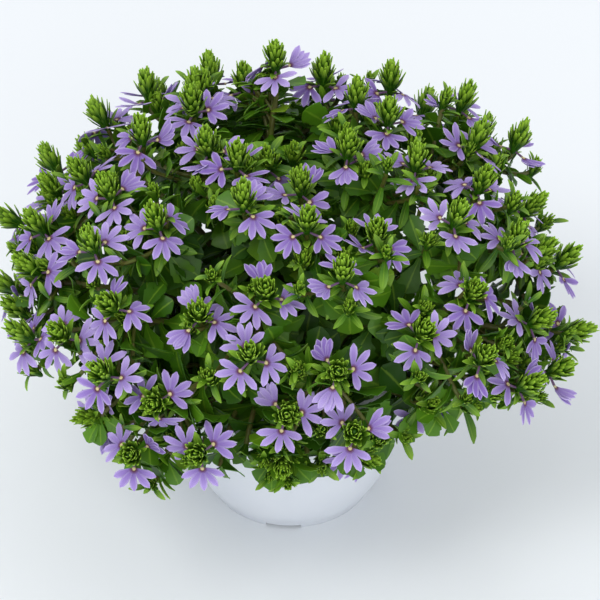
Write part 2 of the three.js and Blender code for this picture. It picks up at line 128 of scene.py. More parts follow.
lip = NECK_RADIUS + LIP_REACH
pot_profile = [
    (0, FLOOR_RISE),
    (FOOT_RADIUS - FOOT_WIDTH, FLOOR_RISE),
    (FOOT_RADIUS - FOOT_WIDTH, 0),
    (FOOT_RADIUS, 0),
    *wall_curve(0, OUTER_STEPS),
    (lip - 0.25, NECK_HEIGHT + LIP_SET),
    (lip, NECK_HEIGHT + LIP_ROUND),
    (lip, POT_HEIGHT - LIP_ROUND),
    (lip - LIP_SET * LIP_ROUND, POT_HEIGHT - LIP_SET * LIP_ROUND),
    (lip - LIP_ROUND, POT_HEIGHT),
    (NECK_RADIUS - POT_WALL, POT_HEIGHT),
    *[place for place in reversed(wall_curve(POT_WALL, INNER_STEPS)) if place[1] > POT_FLOOR + 1],
    (SHOULDER_RADIUS - POT_WALL - 1, POT_FLOOR),
    (0, POT_FLOOR),
]
pot = turned("white_pot", pot_profile, POT_STEPS)
finish_with(
    pot,
    "BEVEL",
    width=EDGE_ROUND * MM,
    segments=2,
    limit_method="ANGLE",
    angle_limit=math.radians(SHARP_EDGE),
)

cutters = []
for i in range(NOTCH_COUNT):
    turn = math.radians(NOTCH_TURN + 360 / NOTCH_COUNT * i)
    radius = (FOOT_RADIUS - FOOT_WIDTH / 2) * MM
    bpy.ops.object.select_all(action="DESELECT")
    bpy.ops.mesh.primitive_cube_add(
        size=1,
        location=(radius * math.cos(turn), radius * math.sin(turn), 0),
        rotation=(0, 0, turn),
        scale=(3 * FOOT_WIDTH * MM, NOTCH_WIDTH * MM, 2 * NOTCH_HEIGHT * MM),
    )
    cutters.append(bpy.context.object)
for i in range(DRAIN_COUNT):
    turn = 2 * math.pi / DRAIN_COUNT * i
    bpy.ops.object.select_all(action="DESELECT")
    bpy.ops.mesh.primitive_cylinder_add(
        vertices=DRAIN_STEPS,
        radius=DRAIN_RADIUS * MM,
        depth=3 * POT_FLOOR * MM,
        location=(DRAIN_CIRCLE * MM * math.cos(turn), DRAIN_CIRCLE * MM * math.sin(turn), POT_FLOOR * MM),
    )
    cutters.append(bpy.context.object)
choose(*cutters)
bpy.ops.object.join()
cutter = bpy.context.object
finish_with(pot, "BOOLEAN", operation="DIFFERENCE", solver="EXACT", object=cutter)
bpy.data.objects.remove(cutter)
choose(pot)
bpy.ops.object.shade_smooth_by_angle(angle=math.radians(SMOOTH_BELOW))


def linear(code):
    """A screen colour such as "#a892e0" as linear light, with full cover."""
    shares = [int(code[i : i + 2], 16) / 255 for i in (1, 3, 5)]
    return (*[s / 12.92 if s <= 0.04045 else ((s + 0.055) / 1.055) ** 2.4 for s in shares], 1)


def node(tree, kind, inputs=None, **settings):
    """Adds a node. Each input is a value, or another node's output to link to it."""
    made = tree.nodes.new("ShaderNode" + kind)
    for name, value in settings.items():
        setattr(made, name, value)
    for name, value in (inputs or {}).items():
        if isinstance(value, bpy.types.NodeSocket):
            tree.links.new(value, made.inputs[name])
        else:
            made.inputs[name].default_value = value
    return made


def new_material(name):
    """An empty material, its node tree and the output that its shader goes to."""
    material = bpy.data.materials.new(name)
    material.use_nodes = True
    material.node_tree.nodes.clear()
    return material, material.node_tree, material.node_tree.nodes.new("ShaderNodeOutputMaterial")


def dress(piece, material, slot, *nodes):
    """Gives a finished piece its material, its body and the nodes that it stands for. The slot is not used.
    """
    piece.data.materials.clear()
    piece.data.materials.append(material)
    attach(piece, "root")
    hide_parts(*nodes)


# Polypropylene from a polished mould: satin white, with the faint waves and cloudy gloss of a thin wall.
pot_plastic, tree, output = new_material("moulded_white_polypropylene")
place = node(tree, "TexCoord").outputs["Object"]
clouds = node(tree, "TexNoise", {"Vector": place, "Scale": 38.0, "Detail": 3.0})
shade = node(
    tree, "Mix", {0: clouds.outputs["Fac"], 6: linear(POT_WHITE), 7: linear(POT_SHADE)}, data_type="RGBA"
)
gloss = node(tree, "MapRange", {"Value": clouds.outputs["Fac"], "To Min": 0.3, "To Max": 0.42})
grit = node(tree, "TexNoise", {"Vector": place, "Scale": 900.0, "Detail": 2.0})
waves = node(tree, "Bump", {"Height": grit.outputs["Fac"], "Strength": 0.12, "Distance": 0.00008})
plastic = node(
    tree,
    "BsdfPrincipled",
    {
        "Base Color": shade.outputs[2],
        "Roughness": gloss.outputs[0],
        "IOR": 1.49,
        "Normal": waves.outputs[0],
    },
)
tree.links.new(plastic.outputs[0], output.inputs["Surface"])
dress(pot, pot_plastic, "pot_plastic", "pot")


# The potting soil is moist peat with bark crumbs, poured in and pressed down by watering. It fills the
# pot to a finger's breadth under the lip, and the stems stand in it.
SOIL_TOP, SOIL_BUMP, SOIL_EDGE, SOIL_GAP = 86, 1.4, 1.5, 0.4
SOIL_DARK, SOIL_LIGHT = "#1d140d", "#4a3524"
SOIL_STEPS, SOIL_RINGS, RING_CROWDING = 64, 16, 0.85
CRUMB_COUNT, CRUMB_SIZES, CRUMB_SHAPE, CRUMB_SEED = 260, (1.2, 3.0), (1.5, 1.0, 0.6), 14

soil_top_radius = NECK_RADIUS - POT_WALL - 2.5 * SOIL_GAP
soil_profile = [
    (0, POT_FLOOR + SOIL_GAP),
    (SHOULDER_RADIUS - POT_WALL - SOIL_GAP - 1, POT_FLOOR + SOIL_GAP),
    *[
        place
        for place in wall_curve(POT_WALL + SOIL_GAP, 8)
        if POT_FLOOR + 3 < place[1] < SOIL_TOP - 4
    ],
    (soil_top_radius, SOIL_TOP - SOIL_EDGE),
    *[
        (soil_top_radius * (1 - (step + 1) / SOIL_RINGS) ** RING_CROWDING, SOIL_TOP)
        for step in range(SOIL_RINGS)
    ],
]
soil = turned("potting_soil", soil_profile, SOIL_STEPS)
for corner in soil.data.vertices:
    if corner.co.z > (SOIL_TOP - 0.1) * MM:
        x, y = corner.co.x / MM, corner.co.y / MM
        swell = SOIL_BUMP * math.sin(x * 0.31 + 1) * math.cos(y * 0.37)
        crumb = noise.fractal(Vector((x * 0.35, y * 0.35, 2.0)), 1.0, 2.1, 3)
        corner.co.z += (0.6 * swell + 0.9 * crumb - 0.3) * MM

rng = np.random.default_rng(CRUMB_SEED)
crumbs = []
for i in range(CRUMB_COUNT):
    reach = soil_top_radius * 0.95 * math.sqrt(rng.random()) * MM
    turn = rng.uniform(0, 2 * math.pi)
    size = rng.uniform(*CRUMB_SIZES) * MM
    bpy.ops.object.select_all(action="DESELECT")
    bpy.ops.mesh.primitive_ico_sphere_add(
        subdivisions=1,
        radius=size / 2,
        location=(reach * math.cos(turn), reach * math.sin(turn), (SOIL_TOP + 0.3) * MM),
        rotation=rng.uniform(0, math.pi, 3),
        scale=CRUMB_SHAPE,
    )
    crumbs.append(bpy.context.object)
choose(soil, *crumbs)
bpy.ops.object.join()
bpy.ops.object.shade_smooth_by_angle(angle=math.radians(50))

# Peat and composted bark: dark brown, dull, with lighter fibres and a wet gloss here and there.
soil_peat, tree, output = new_material("moist_peat_and_bark")
place = node(tree, "TexCoord").outputs["Object"]
clods = node(tree, "TexNoise", {"Vector": place, "Scale": 260.0, "Detail": 6.0})
fibres = node(tree, "TexVoronoi", {"Vector": place, "Scale": 420.0})
amount = node(tree, "Math", {0: clods.outputs["Fac"], 1: fibres.outputs["Distance"]}, operation="MULTIPLY")
earth = node(
    tree, "Mix", {0: amount.outputs[0], 6: linear(SOIL_DARK), 7: linear(SOIL_LIGHT)}, data_type="RGBA"
)
lumps = node(tree, "Bump", {"Height": clods.outputs["Fac"], "Strength": 0.8, "Distance": 0.0008})
dull = node(tree, "MapRange", {"Value": clods.outputs["Fac"], "To Min": 0.75, "To Max": 1.0})
peat = node(
    tree,
    "BsdfPrincipled",
    {
        "Base Color": earth.outputs[2],
        "Roughness": dull.outputs[0],
        "IOR": 1.45,
        "Normal": lumps.outputs[0],
    },
)
tree.links.new(peat.outputs[0], output.inputs["Surface"])
dress(soil, soil_peat, "soil", "soil")


# The plant is 22 sprays on a dome and five shoots that grew out of it. Each is a main stem that stands
# in the soil and forks to its heads. The stems and heads are laid out here by the rules that the solids
# grew by, and the blooms and the green of the next two sections grow along them.
SPRAY_COUNT, HEADS_PER_SPRAY, GOLDEN_ANGLE, GROWTH_SEED = 22, 3, 137.508, 13
CROWN_TURN, CROWN_WIDTH, CROWN_DEPTH, CROWN_RISE = 237, 144, 126, 120
CROWN_BASE, CROWN_BACK, CROWN_FULLNESS, LOWEST_LEAN = 100, 1, 2.7, 78
HEAD_GAP, HEAD_SCATTER, ROOT_SPREAD = 34, 5, 42
AXIS_OUT, AXIS_UP = 0.75, 0.5
PLANTING_DEPTH, STEM_RISE, STEM_ARCH = 12, 8, 0.35
ARCH_SHARE, LEADER_BEND, SIDE_START, SIDE_END = 0.3, 0.3, 0.3, 0.45
FORK_SHARE, FORK_LIFT, FORK_AT, FORK_STEP = 0.62, 24, 0.6, 0.06
LEADER_STEPS, SIDE_STEPS = 6, 2
MAIN_STEM_RADIUS, SIDE_STEM_RADIUS = 2.1, 1.3
BLOOM_DROP, HEAD_NECK = 17.5, 1.5
WAYWARD = [
    {"name": "tall", "turn": 95, "root": 22, "tips": [(-8, 72, 226), (-24, 80, 206)], "lean": 6},
    {"name": "long", "turn": -10, "root": 46, "tips": [(152, -22, 118)], "lean": 66},
    {"name": "left", "turn": 176, "root": 46, "tips": [(-151, 42, 142), (-153, 14, 122)], "lean": 60},
    {"name": "corner", "turn": 210, "root": 46, "tips": [(-108, -62, 92)], "lean": 72},
    {"name": "low", "turn": -90, "root": 46, "tips": [(-4, -116, 104)], "lean": 74},
]
UP = Vector((0, 0, 1))

# Short shoots between the sprays, at the front right and on top: the tip, the way that it points, its
# size, and the turns of its fans.
SHORT_SHOOTS = [
    ((72, -72, 112), (0.45, -0.6, 0.66), 0.95, (-70, 60)),
    ((44, -94, 92), (0.75, -0.62, 0.25), 0.95, (-60, 70, 170)),
    ((94, -64, 102), (0.7, -0.5, 0.5), 0.7, ()),
    ((58, -84, 98), (0.4, -0.8, 0.4), 0.7, ()),
    ((16, -97, 90), (0.1, -0.9, 0.3), 0.8, ()),
    ((84, -48, 116), (0.6, -0.4, 0.7), 0.8, (0,)),
    ((-12, 12, 205), (-0.05, -0.1, 1.0), 0.9, (60, 180)),
    ((2, 28, 196), (0.1, 0.1, 1.0), 0.8, ()),
    ((-30, 34, 190), (-0.15, 0.1, 1.0), 0.75, ()),
]


def stream(seed):
    """Even random draws between two limits, the same ones that the solids grew by."""
    state = (seed + GROWTH_SEED) * 7919 + 104729

    def draw(low, high):
        nonlocal state
        state = state * 16807 % 2147483647
        return low + (high - low) * state / 2147483647

    draw(0, 1)
    return draw


def swung(vector, axis, degrees):
    return Matrix.Rotation(math.radians(degrees), 3, axis) @ vector


def root_place(radius, turn):
    angle = math.radians(turn)
    return Vector((radius * math.cos(angle), radius * math.sin(angle), SOIL_TOP))


def crown_place(lean, turn):
    """A place on the crown's dome, which is fuller in its corners than an ellipsoid, and its outward
    direction there."""
    ways = [math.sin(lean) * math.cos(turn), math.sin(lean) * math.sin(turn), math.cos(lean)]
    total = sum(abs(way) ** CROWN_FULLNESS for way in ways) ** (1 / CROWN_FULLNESS)
    sizes = (CROWN_WIDTH, CROWN_DEPTH, CROWN_RISE)
    ways = [way / total for way in ways]
    slopes = [math.copysign(abs(way) ** (CROWN_FULLNESS - 1), way) / size for way, size in zip(ways, sizes)]
    centre = Vector([way * size for way, size in zip(ways, sizes)]) + Vector((0, CROWN_BACK, CROWN_BASE))
    return centre, Vector(slopes).normalized()


def plan_spray(index):
    """The root, fork, tips and head axis of one spray on the dome."""
    draw = stream(index)
    share = (index + 0.5) / SPRAY_COUNT
    lean = math.acos(1 - share * (1 - math.cos(math.radians(LOWEST_LEAN))))
    turn = CROWN_TURN + GOLDEN_ANGLE * index
    centre, outward = crown_place(lean, math.radians(turn))
    level = UP.cross(outward).normalized()
    rising = outward.cross(level)
    axis = (outward * AXIS_OUT + UP * AXIS_UP).normalized()
    spin = draw(0, 120)
    tips = []
    for k in range(HEADS_PER_SPRAY):
        angle = math.radians(spin + 360 / HEADS_PER_SPRAY * k)
        offset = HEAD_GAP / math.sqrt(3)
        tip = centre + level * (offset * math.cos(angle)) + rising * (offset * math.sin(angle))
        tips.append(tip + axis * draw(-HEAD_SCATTER, HEAD_SCATTER))
    root = root_place(ROOT_SPREAD * math.sqrt(share), turn)
    fork = root.lerp(centre, FORK_SHARE)
    fork.z += FORK_LIFT * math.sin(lean) ** 2
    return {
        "name": f"{index + 1:02d}",
        "index": index,
        "root": root,
        "fork": fork,
        "tips": tips,
        "axis": axis,
        "outward": outward,
    }


def plan_wayward(shoot, order):
    """The same for a shoot that grew out of the dome."""
    root = root_place(shoot["root"], shoot["turn"])
    tips = [Vector(tip) for tip in shoot["tips"]]
    centre = sum(tips, Vector()) / len(tips)
    outward = Vector((centre.x, centre.y, 0)).normalized()
    lean = math.radians(shoot["lean"])
    fork = root.lerp(centre, FORK_SHARE)
    fork.z += FORK_LIFT * math.sin(lean)
    return {
        "name": shoot["name"],
        "index": SPRAY_COUNT + order,
        "root": root,
        "fork": fork,
        "tips": tips,
        "axis": UP * math.cos(lean) + outward * math.sin(lean),
        "outward": outward,
    }


def rounded_run(places):
    """A smooth curve through places, as a function of the share of the way, 0 to 1."""

    def at(share):
        reach = min(max(share, 0), 1) * (len(places) - 1)
        i = min(int(reach), len(places) - 2)
        t = reach - i
        p1, p2 = places[i], places[i + 1]
        p0 = places[i - 1] if i else p1 * 2 - p2
        p3 = places[i + 2] if i + 2 < len(places) else p2 * 2 - p1
        d0, d1, d2 = (math.sqrt((b - a).length) for a, b in ((p0, p1), (p1, p2), (p2, p3)))
        m1 = ((p1 - p0) / d0 - (p2 - p0) / (d0 + d1) + (p2 - p1) / d1) * d1
        m2 = ((p2 - p1) / d1 - (p3 - p1) / (d1 + d2) + (p3 - p2) / d2) * d1
        return p1 + m1 * t + (p1 * -3 + p2 * 3 - m1 * 2 - m2) * t**2 + (p1 * 2 - p2 * 2 + m1 + m2) * t**3

    return at


def bowed_run(start, first, last, end):
    """A smooth curve from start to end, drawn towards two places between them."""

    def at(share):
        t, rest = share, 1 - share
        return start * rest**3 + first * (3 * rest**2 * t) + last * (3 * rest * t**2) + end * t**3

    return at


def heading(curve, share):
    """The curve's direction at a share of its way."""
    ahead, behind = min(share + 1e-3, 1), max(share - 1e-3, 0)
    return (curve(ahead) - curve(behind)).normalized()


def on_pieces(curve, steps, share):
    """A point on the straight pieces that the solid stem is built of."""
    step = min(int(share * steps), steps - 1)
    return curve(step / steps).lerp(curve((step + 1) / steps), share * steps - step)


def leader_of(plan):
    """The main stem: up out of the soil, over in an arc to the fork, and on into the first head."""
    root, fork, axis = plan["root"], plan["fork"], plan["axis"]
    above = root.lerp(fork, ARCH_SHARE)
    above.z += STEM_ARCH * math.hypot(fork.x - root.x, fork.y - root.y)
    end = plan["tips"][0] - axis * (BLOOM_DROP + HEAD_NECK)
    bend = end - axis * (LEADER_BEND * (fork - end).length)
    below = Vector((root.x, root.y, SOIL_TOP - PLANTING_DEPTH))
    clear = Vector((root.x, root.y, SOIL_TOP + STEM_RISE))
    return rounded_run([below, clear, above, fork, bend, end])


def side_of(plan, leader, order):
    """A side stem: it leaves the main stem near the fork and turns up into its own head."""
    joint = FORK_AT + FORK_STEP * (order - 1)
    start = on_pieces(leader, LEADER_STEPS, joint)
    end = plan["tips"][order] - plan["axis"] * (BLOOM_DROP + HEAD_NECK)
    reach = (end - start).length
    first = start + heading(leader, joint) * (SIDE_START * reach)
    return bowed_run(start, first, end - plan["axis"] * (SIDE_END * reach), end)


def nearest_to(place, choice):
    """The one of these plans that has a head nearest to the place."""
    return min(choice, key=lambda plan: min((tip - place).length for tip in plan["tips"]))


plans = [plan_spray(index) for index in range(SPRAY_COUNT)]
plans += [plan_wayward(shoot, order) for order, shoot in enumerate(WAYWARD)]
for plan in plans:
    leader = leader_of(plan)
    plan["curves"] = [leader] + [side_of(plan, leader, k) for k in range(1, len(plan["tips"]))]
flowering = [plan for plan in plans if plan["name"] != "low"]

shoots = []
for tip, axis, size, fans in SHORT_SHOOTS:
    tip = Vector(tip)
    name = nearest_to(tip, flowering)["name"]
    shoots.append({"name": name, "tip": tip, "axis": Vector(axis).normalized(), "size": size, "fans": fans})


# The blooms are lilac fans on short tubes, three round the stem under each head and now and then one
# more. A fan has five petals in a half circle, each with a low middle strip and waved margins, round a
# cream throat with a brown ring.
BLOOMS_PER_HEAD, THROAT_REACH, PETAL_LENGTH, PETAL_STEP, PETAL_CURL = 3, 7.5, 12.6, 42, -0.04
BLOOM_LIFTS = [0, 3, -3, 6, -6, 9, -9, 12, -12]
BLOOM_SHRINKS = [1, 0.85, 0.72, 0.6]
BLOOM_DROOPS = [16, 30, 2, 44, 58]
PETAL_FOUND_WITHIN = 0.15
PETAL_ROWS = [0.3, 0.64, 1.02, 0.84, 0.12]
PETAL_STEPS = [0, 0.28, 0.6, 0.84, 1]
PETAL_WIDTH, PETAL_DEPTH, PETAL_THICKNESS = 3.9, 4.0, 0.07
PETAL_LENGTHS, PETAL_STRAY, PETAL_TILTS, PETAL_BENDS = (0.88, 1.02), 5, (-0.08, 0.12), (-0.1, 0.2)
OPEN_STEPS, OPEN_CUPS, SHUT_STEP, SHUT_CUPS, SHUT_SHARE = (0.82, 1.02), (-0.5, 0.5), 0.45, (-1.1, -0.5), 0.3
FAN_ROLL, FAN_TIP = 28, 20
EXTRA_SHARE, EXTRA_DROPS, EXTRA_SLOPES, EXTRA_SIZES = 0.1, (3, 7), (10, 40), (0.7, 0.95)
EXTRA_REACH, SHOOT_FAN_SIZE, SHOOT_FAN_DROOP, SHOOT_FAN_LEAN = 7, 0.95, 0.3, 0.2
TUBE_SIDES, TUBE_FLARE, TUBE_RIM, TUBE_HOLLOW = 6, 1.4, 0.12, 0.1
BLOOM_SEED, SHOOT_SEED, SMOOTH_TISSUE = 300, 77, 60
PETAL_AGE, TUBE_AGE = 1.0, 0.0
PETAL_LILAC, PETAL_LIGHT, PETAL_PALE, PETAL_VEIN = "#a688da", "#d6c2fb", "#e9dcff", "#7a57b4"
THROAT_BROWN, THROAT_CREAM, TUBE_PURPLE = "#6a3044", "#f1e6b0", "#806088"


def blade(name, across, half_widths, steps, rise, thickness):
    """A blade one unit long and one unit wide: a flat grid whose rows are drawn to the outline and lifted
    along the edges, and which then gets its thickness."""
    rows = len(steps) - 1
    bpy.ops.object.select_all(action="DESELECT")
    bpy.ops.mesh.primitive_grid_add(x_subdivisions=across, y_subdivisions=rows, size=1, location=(0, 0, 0))
    piece = bpy.context.object
    piece.name = name
    bpy.ops.object.mode_set(mode="EDIT")
    bpy.ops.mesh.select_all(action="SELECT")
    bpy.ops.transform.translate(value=(0, 0.5, 0))
    for row in range(rows, -1, -1):
        level = row / rows
        pick(piece.data, lambda co, level=level: abs(co.y - level) < 1e-4 and co.z < 1)
        bpy.ops.transform.resize(value=(half_widths[row], 1, 1), center_override=(0, 0, 0))
        bpy.ops.transform.translate(value=(0, steps[row] - level, 2))
    bpy.ops.mesh.select_all(action="SELECT")
    bpy.ops.transform.translate(value=(0, 0, -2))
    bpy.ops.object.mode_set(mode="OBJECT")
    for corner in piece.data.vertices:
        corner.co.z = rise(corner.co.x, corner.co.y)
    finish_with(piece, "SOLIDIFY", thickness=thickness, offset=0)
    return piece


def taken(piece):
    """The model as arrays of corners, faces and places on the blade. The model itself is cleared away."""
    mesh = piece.data
    corners = np.array([corner.co for corner in mesh.vertices])
    faces = np.array([list(face.vertices) for face in mesh.polygons])
    grain = np.full((len(corners), 2), 0.5)
    if mesh.uv_layers:
        for face in mesh.polygons:
            for corner, loop in zip(face.vertices, face.loop_indices):
                grain[corner] = mesh.uv_layers[0].data[loop].uv
    bpy.data.objects.remove(piece)
    return {"corners": corners, "faces": faces, "grain": grain}


def laid(model, origin, along, normal, length, width, bend=0.0, depth=None):
    """A copy of a blade's corners, in millimetres, at its place: it starts at origin, runs along, faces
    normal and bends back by so many radians towards its tip."""
    x = model["corners"][:, 0] * width
    y = model["corners"][:, 1]
    z = model["corners"][:, 2] * (depth or width)
    if abs(bend) > 1e-3:
        radius = length / bend
        ahead, high = (radius + z) * np.sin(bend * y), (radius + z) * np.cos(bend * y) - radius
    else:
        ahead, high = y * length, z
    along = along.normalized()
    normal = (normal - along * normal.dot(along)).normalized()
    side = along.cross(normal)
    return (
        np.array(origin)
        + np.outer(x, np.array(side))
        + np.outer(ahead, np.array(along))
        + np.outer(high, np.array(normal))
    )


class Growth:
    """The copies that make up one piece, gathered before they become its mesh."""

    def __init__(self):
        self.corners, self.faces, self.grain, self.count = [], [], [], 0

    def add(self, model, corners, tone, age):
        self.faces += (model["faces"] + self.count).tolist()
        self.corners.append(corners)
        marks = np.full((len(corners), 4), 0.5)
        marks[:, :2] = model["grain"]
        marks[:, 2], marks[:, 3] = tone, age
        self.grain.append(marks)
        self.count += len(corners)

    def add_mesh(self, mesh, tone, age):
        """Takes in a mesh whose corners are in millimetres already."""
        corners = np.array([corner.co for corner in mesh.vertices])
        self.faces += [[corner + self.count for corner in face.vertices] for face in mesh.polygons]
        self.corners.append(corners)
        self.grain.append(np.tile([0.5, 0.5, tone, age], (len(corners), 1)))
        self.count += len(corners)

    def piece(self, name):
        mesh = bpy.data.meshes.new(name)
        mesh.from_pydata((np.vstack(self.corners) * MM).tolist(), [], self.faces)
        marks = mesh.attributes.new("grain", "FLOAT_COLOR", "POINT")
        marks.data.foreach_set("color", np.vstack(self.grain).astype(np.float32).ravel())
        made = bpy.data.objects.new(name, mesh)
        bpy.context.scene.collection.objects.link(made)
        choose(made)
        bpy.ops.object.shade_smooth_by_angle(angle=math.radians(SMOOTH_TISSUE))
        return made


def packed_corners(name):
    """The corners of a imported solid, in millimetres."""
    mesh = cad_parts[name].data
    return np.array([corner.co for corner in mesh.vertices]) / MM


def missed_by(places, corners):
    """How far each place is from the nearest corner."""
    places = np.array(places)
    return np.sqrt(((places[:, None] - corners[None]) ** 2).sum(2)).min(1)


def ruffle(x, y):
    """The central strip lies a little low between its two ridges, and the margins wave."""
    return 0.2 * abs(x) + 0.1 * math.sin(15 * y) * max(abs(x) - 0.2, 0) * (1 if x > 0 else -1)


petal = taken(blade("petal", 4, PETAL_ROWS, PETAL_STEPS, ruffle, PETAL_THICKNESS))
petal_copies = []

bpy.ops.object.select_all(action="DESELECT")
bpy.ops.mesh.primitive_cylinder_add(vertices=TUBE_SIDES, radius=0.5, depth=1, location=(0, 0, 0))
tube_model = bpy.context.object
bpy.ops.object.mode_set(mode="EDIT")
bpy.ops.mesh.select_all(action="SELECT")
bpy.ops.transform.translate(value=(0, 0, 0.5))
pick(tube_model.data, lambda co: co.z > 0.9)
bpy.ops.transform.resize(value=(TUBE_FLARE, TUBE_FLARE, 1), center_override=(0, 0, 1))
bpy.ops.mesh.inset(thickness=TUBE_RIM, depth=-TUBE_HOLLOW)
bpy.ops.mesh.merge(type="CENTER")
bpy.ops.object.mode_set(mode="OBJECT")
finish_with(tube_model, "TRIANGULATE")
tube = taken(tube_model)
tube["grain"][:, 1] = tube["corners"][:, 2]


def bloom_places(plan, tip, order, lift, droop, shrink):
    """For one bloom of the solid: its throat, aim and side, and the tips of its four outer petals."""
    axis = plan["axis"]
    base = tip - axis * BLOOM_DROP
    tips = plan["tips"]
    meeting = sum(tips, Vector()) / len(tips) + axis * (lift - BLOOM_DROP)
    toward = meeting - base if len(tips) > 1 else -plan["outward"]
    first = (toward - axis * toward.dot(axis)).normalized()
    last = meeting - base - first * THROAT_REACH
    leans = order == 0 and len(tips) > 1
    slope = math.atan2(-last.dot(axis), last.dot(first)) if leans else math.radians(droop)
    direction = swung(first, axis, order * 360 / BLOOMS_PER_HEAD)
    throat = base + direction * THROAT_REACH
    aim = direction * math.cos(slope) - axis * math.sin(slope)
    side = axis.cross(direction)
    face = aim.cross(side)
    ends = []
    for petal_order in (-2, -1, 1, 2):
        turn = math.radians(petal_order * PETAL_STEP)
        length = PETAL_LENGTH * shrink
        ends.append(
            throat
            + side * (length * math.sin(turn))
            + aim * (length * math.cos(turn))
            + face * (PETAL_CURL * length)
        )
    return throat, aim, side, ends


def solid_blooms(plan, corners):
    """The lift of a spray's blooms, and the size and droop of those of each head, as the solid has them."""
    best, most = None, -1
    for lift in BLOOM_LIFTS:
        found, chosen = 0, []
        for tip in plan["tips"]:
            choices = [(shrink, droop) for shrink in BLOOM_SHRINKS for droop in BLOOM_DROOPS]
            ends = [
                end
                for shrink, droop in choices
                for order in range(BLOOMS_PER_HEAD)
                for end in bloom_places(plan, tip, order, lift, droop, shrink)[3]
            ]
            near = missed_by(ends, corners) < PETAL_FOUND_WITHIN
            hits = near.reshape(len(choices), -1).sum(1)
            found += hits.max()
            chosen.append(choices[int(hits.argmax())])
        if found > most:
            best, most = (lift, chosen), found
    return best


def grow_bloom(growth, throat, aim, side, root, size, rng):
    """One fan: a tube from the stem to the throat, and five petals spread in a half circle. Some fans
    are half shut, and each is tipped and turned a little its own way."""
    tone = rng.uniform(0, 1)
    shut = rng.random() < SHUT_SHARE
    step = PETAL_STEP * (SHUT_STEP if shut else rng.uniform(*OPEN_STEPS))
    cup = rng.uniform(*(SHUT_CUPS if shut else OPEN_CUPS))
    roll = rng.uniform(-FAN_ROLL, FAN_ROLL)
    side, face = swung(side, aim, roll), swung(aim.cross(side), aim, roll)
    tip_down = rng.uniform(-FAN_TIP, FAN_TIP)
    aim, face = swung(aim, side, tip_down), swung(face, side, tip_down)
    for order in range(-2, 3):
        turn = math.radians(order * step + rng.uniform(-PETAL_STRAY, PETAL_STRAY))
        along = aim * math.cos(turn) + side * math.sin(turn)
        along = (along + face * rng.uniform(*PETAL_TILTS)).normalized()
        length = PETAL_LENGTH * size * rng.uniform(*PETAL_LENGTHS)
        bend = cup + rng.uniform(*PETAL_BENDS)
        corners = laid(petal, throat, along, face, length, PETAL_WIDTH * size, bend, PETAL_DEPTH)
        growth.add(petal, corners, tone, PETAL_AGE)
        petal_copies.append(corners)
    axis = (throat - root).normalized()
    across = axis.orthogonal().normalized()
    frame_of = np.array([across, axis.cross(across), axis])
    reach = (throat - root).length
    growth.add(tube, (tube["corners"] * (1.0, 1.0, reach)) @ frame_of + np.array(root), tone, TUBE_AGE)


# Petal tissue: thin, matt and translucent, with fine darker veins along it, paler margins, and a
# red-brown ring round the cream throat. Towards the throat the petals darken in the vein colour, partly
# their own tint and partly painted shade where the petals meet. The tube is purple outside. The veins
# are drawn wider than life.
petal_tissue, tree, output = new_material("thin_lilac_petal_tissue")
marks = node(tree, "Attribute", attribute_name="grain")
parts = node(tree, "SeparateColor", {"Color": marks.outputs["Color"]})
across, along, tone, age = *parts.outputs[:3], marks.outputs["Alpha"]
from_middle = node(tree, "Math", {0: across, 1: 0.5}, operation="SUBTRACT")
off = node(tree, "Math", {0: from_middle.outputs[0]}, operation="ABSOLUTE")
edge = node(tree, "MapRange", {"Value": off.outputs[0], "From Min": 0.22, "From Max": 0.5, "To Max": 0.8})
base_hue = node(tree, "Mix", {0: tone, 6: linear(PETAL_LILAC), 7: linear(PETAL_LIGHT)}, data_type="RGBA")
margin = node(
    tree, "Mix", {0: edge.outputs[0], 6: base_hue.outputs[2], 7: linear(PETAL_PALE)}, data_type="RGBA"
)
rows = node(tree, "Math", {0: off.outputs[0], 1: 44.0}, operation="MULTIPLY")
stripes = node(tree, "Math", {0: rows.outputs[0]}, operation="COSINE")
veins = node(
    tree, "MapRange", {"Value": stripes.outputs[0], "From Min": 0.5, "From Max": 1.0, "To Max": 0.6}
)
veined = node(
    tree, "Mix", {0: veins.outputs[0], 6: margin.outputs[2], 7: linear(PETAL_VEIN)}, data_type="RGBA"
)
# Painted shade: petals darken towards the throat in the vein colour, partly their own tint and partly shade
# where the petals meet.
throat_shade = node(tree, "MapRange", {"Value": along, "From Min": 0.75, "From Max": 0.15, "To Max": 0.65})
throat_shaded = node(
    tree, "Mix", {0: throat_shade.outputs[0], 6: veined.outputs[2], 7: linear(PETAL_VEIN)}, data_type="RGBA"
)
ring = node(tree, "MapRange", {"Value": along, "From Min": 0.2, "From Max": 0.08})
ringed = node(
    tree, "Mix", {0: ring.outputs[0], 6: throat_shaded.outputs[2], 7: linear(THROAT_BROWN)}, data_type="RGBA"
)
heart = node(tree, "MapRange", {"Value": along, "From Min": 0.08, "From Max": 0.03})
hearted = node(
    tree, "Mix", {0: heart.outputs[0], 6: ringed.outputs[2], 7: linear(THROAT_CREAM)}, data_type="RGBA"
)
tube_end = node(tree, "MapRange", {"Value": along, "From Min": 0.86, "From Max": 0.98})
tube_hue = node(
    tree, "Mix", {0: tube_end.outputs[0], 6: linear(TUBE_PURPLE), 7: linear(THROAT_CREAM)}, data_type="RGBA"
)
lilac_hue = node(tree, "Mix", {0: age, 6: tube_hue.outputs[2], 7: hearted.outputs[2]}, data_type="RGBA")
folds = node(tree, "Bump", {"Height": stripes.outputs[0], "Strength": 0.25, "Distance": 0.0002})
petal_skin = node(
    tree,
    "BsdfPrincipled",
    {"Base Color": lilac_hue.outputs[2], "Roughness": 0.62, "IOR": 1.4, "Normal": folds.outputs[0]},
)
petal_glow = node(tree, "BsdfTranslucent", {"Color": lilac_hue.outputs[2]})
petal_mix = node(tree, "MixShader", {0: 0.3, 1: petal_skin.outputs[0], 2: petal_glow.outputs[0]})
tree.links.new(petal_mix.outputs[0], output.inputs["Surface"])

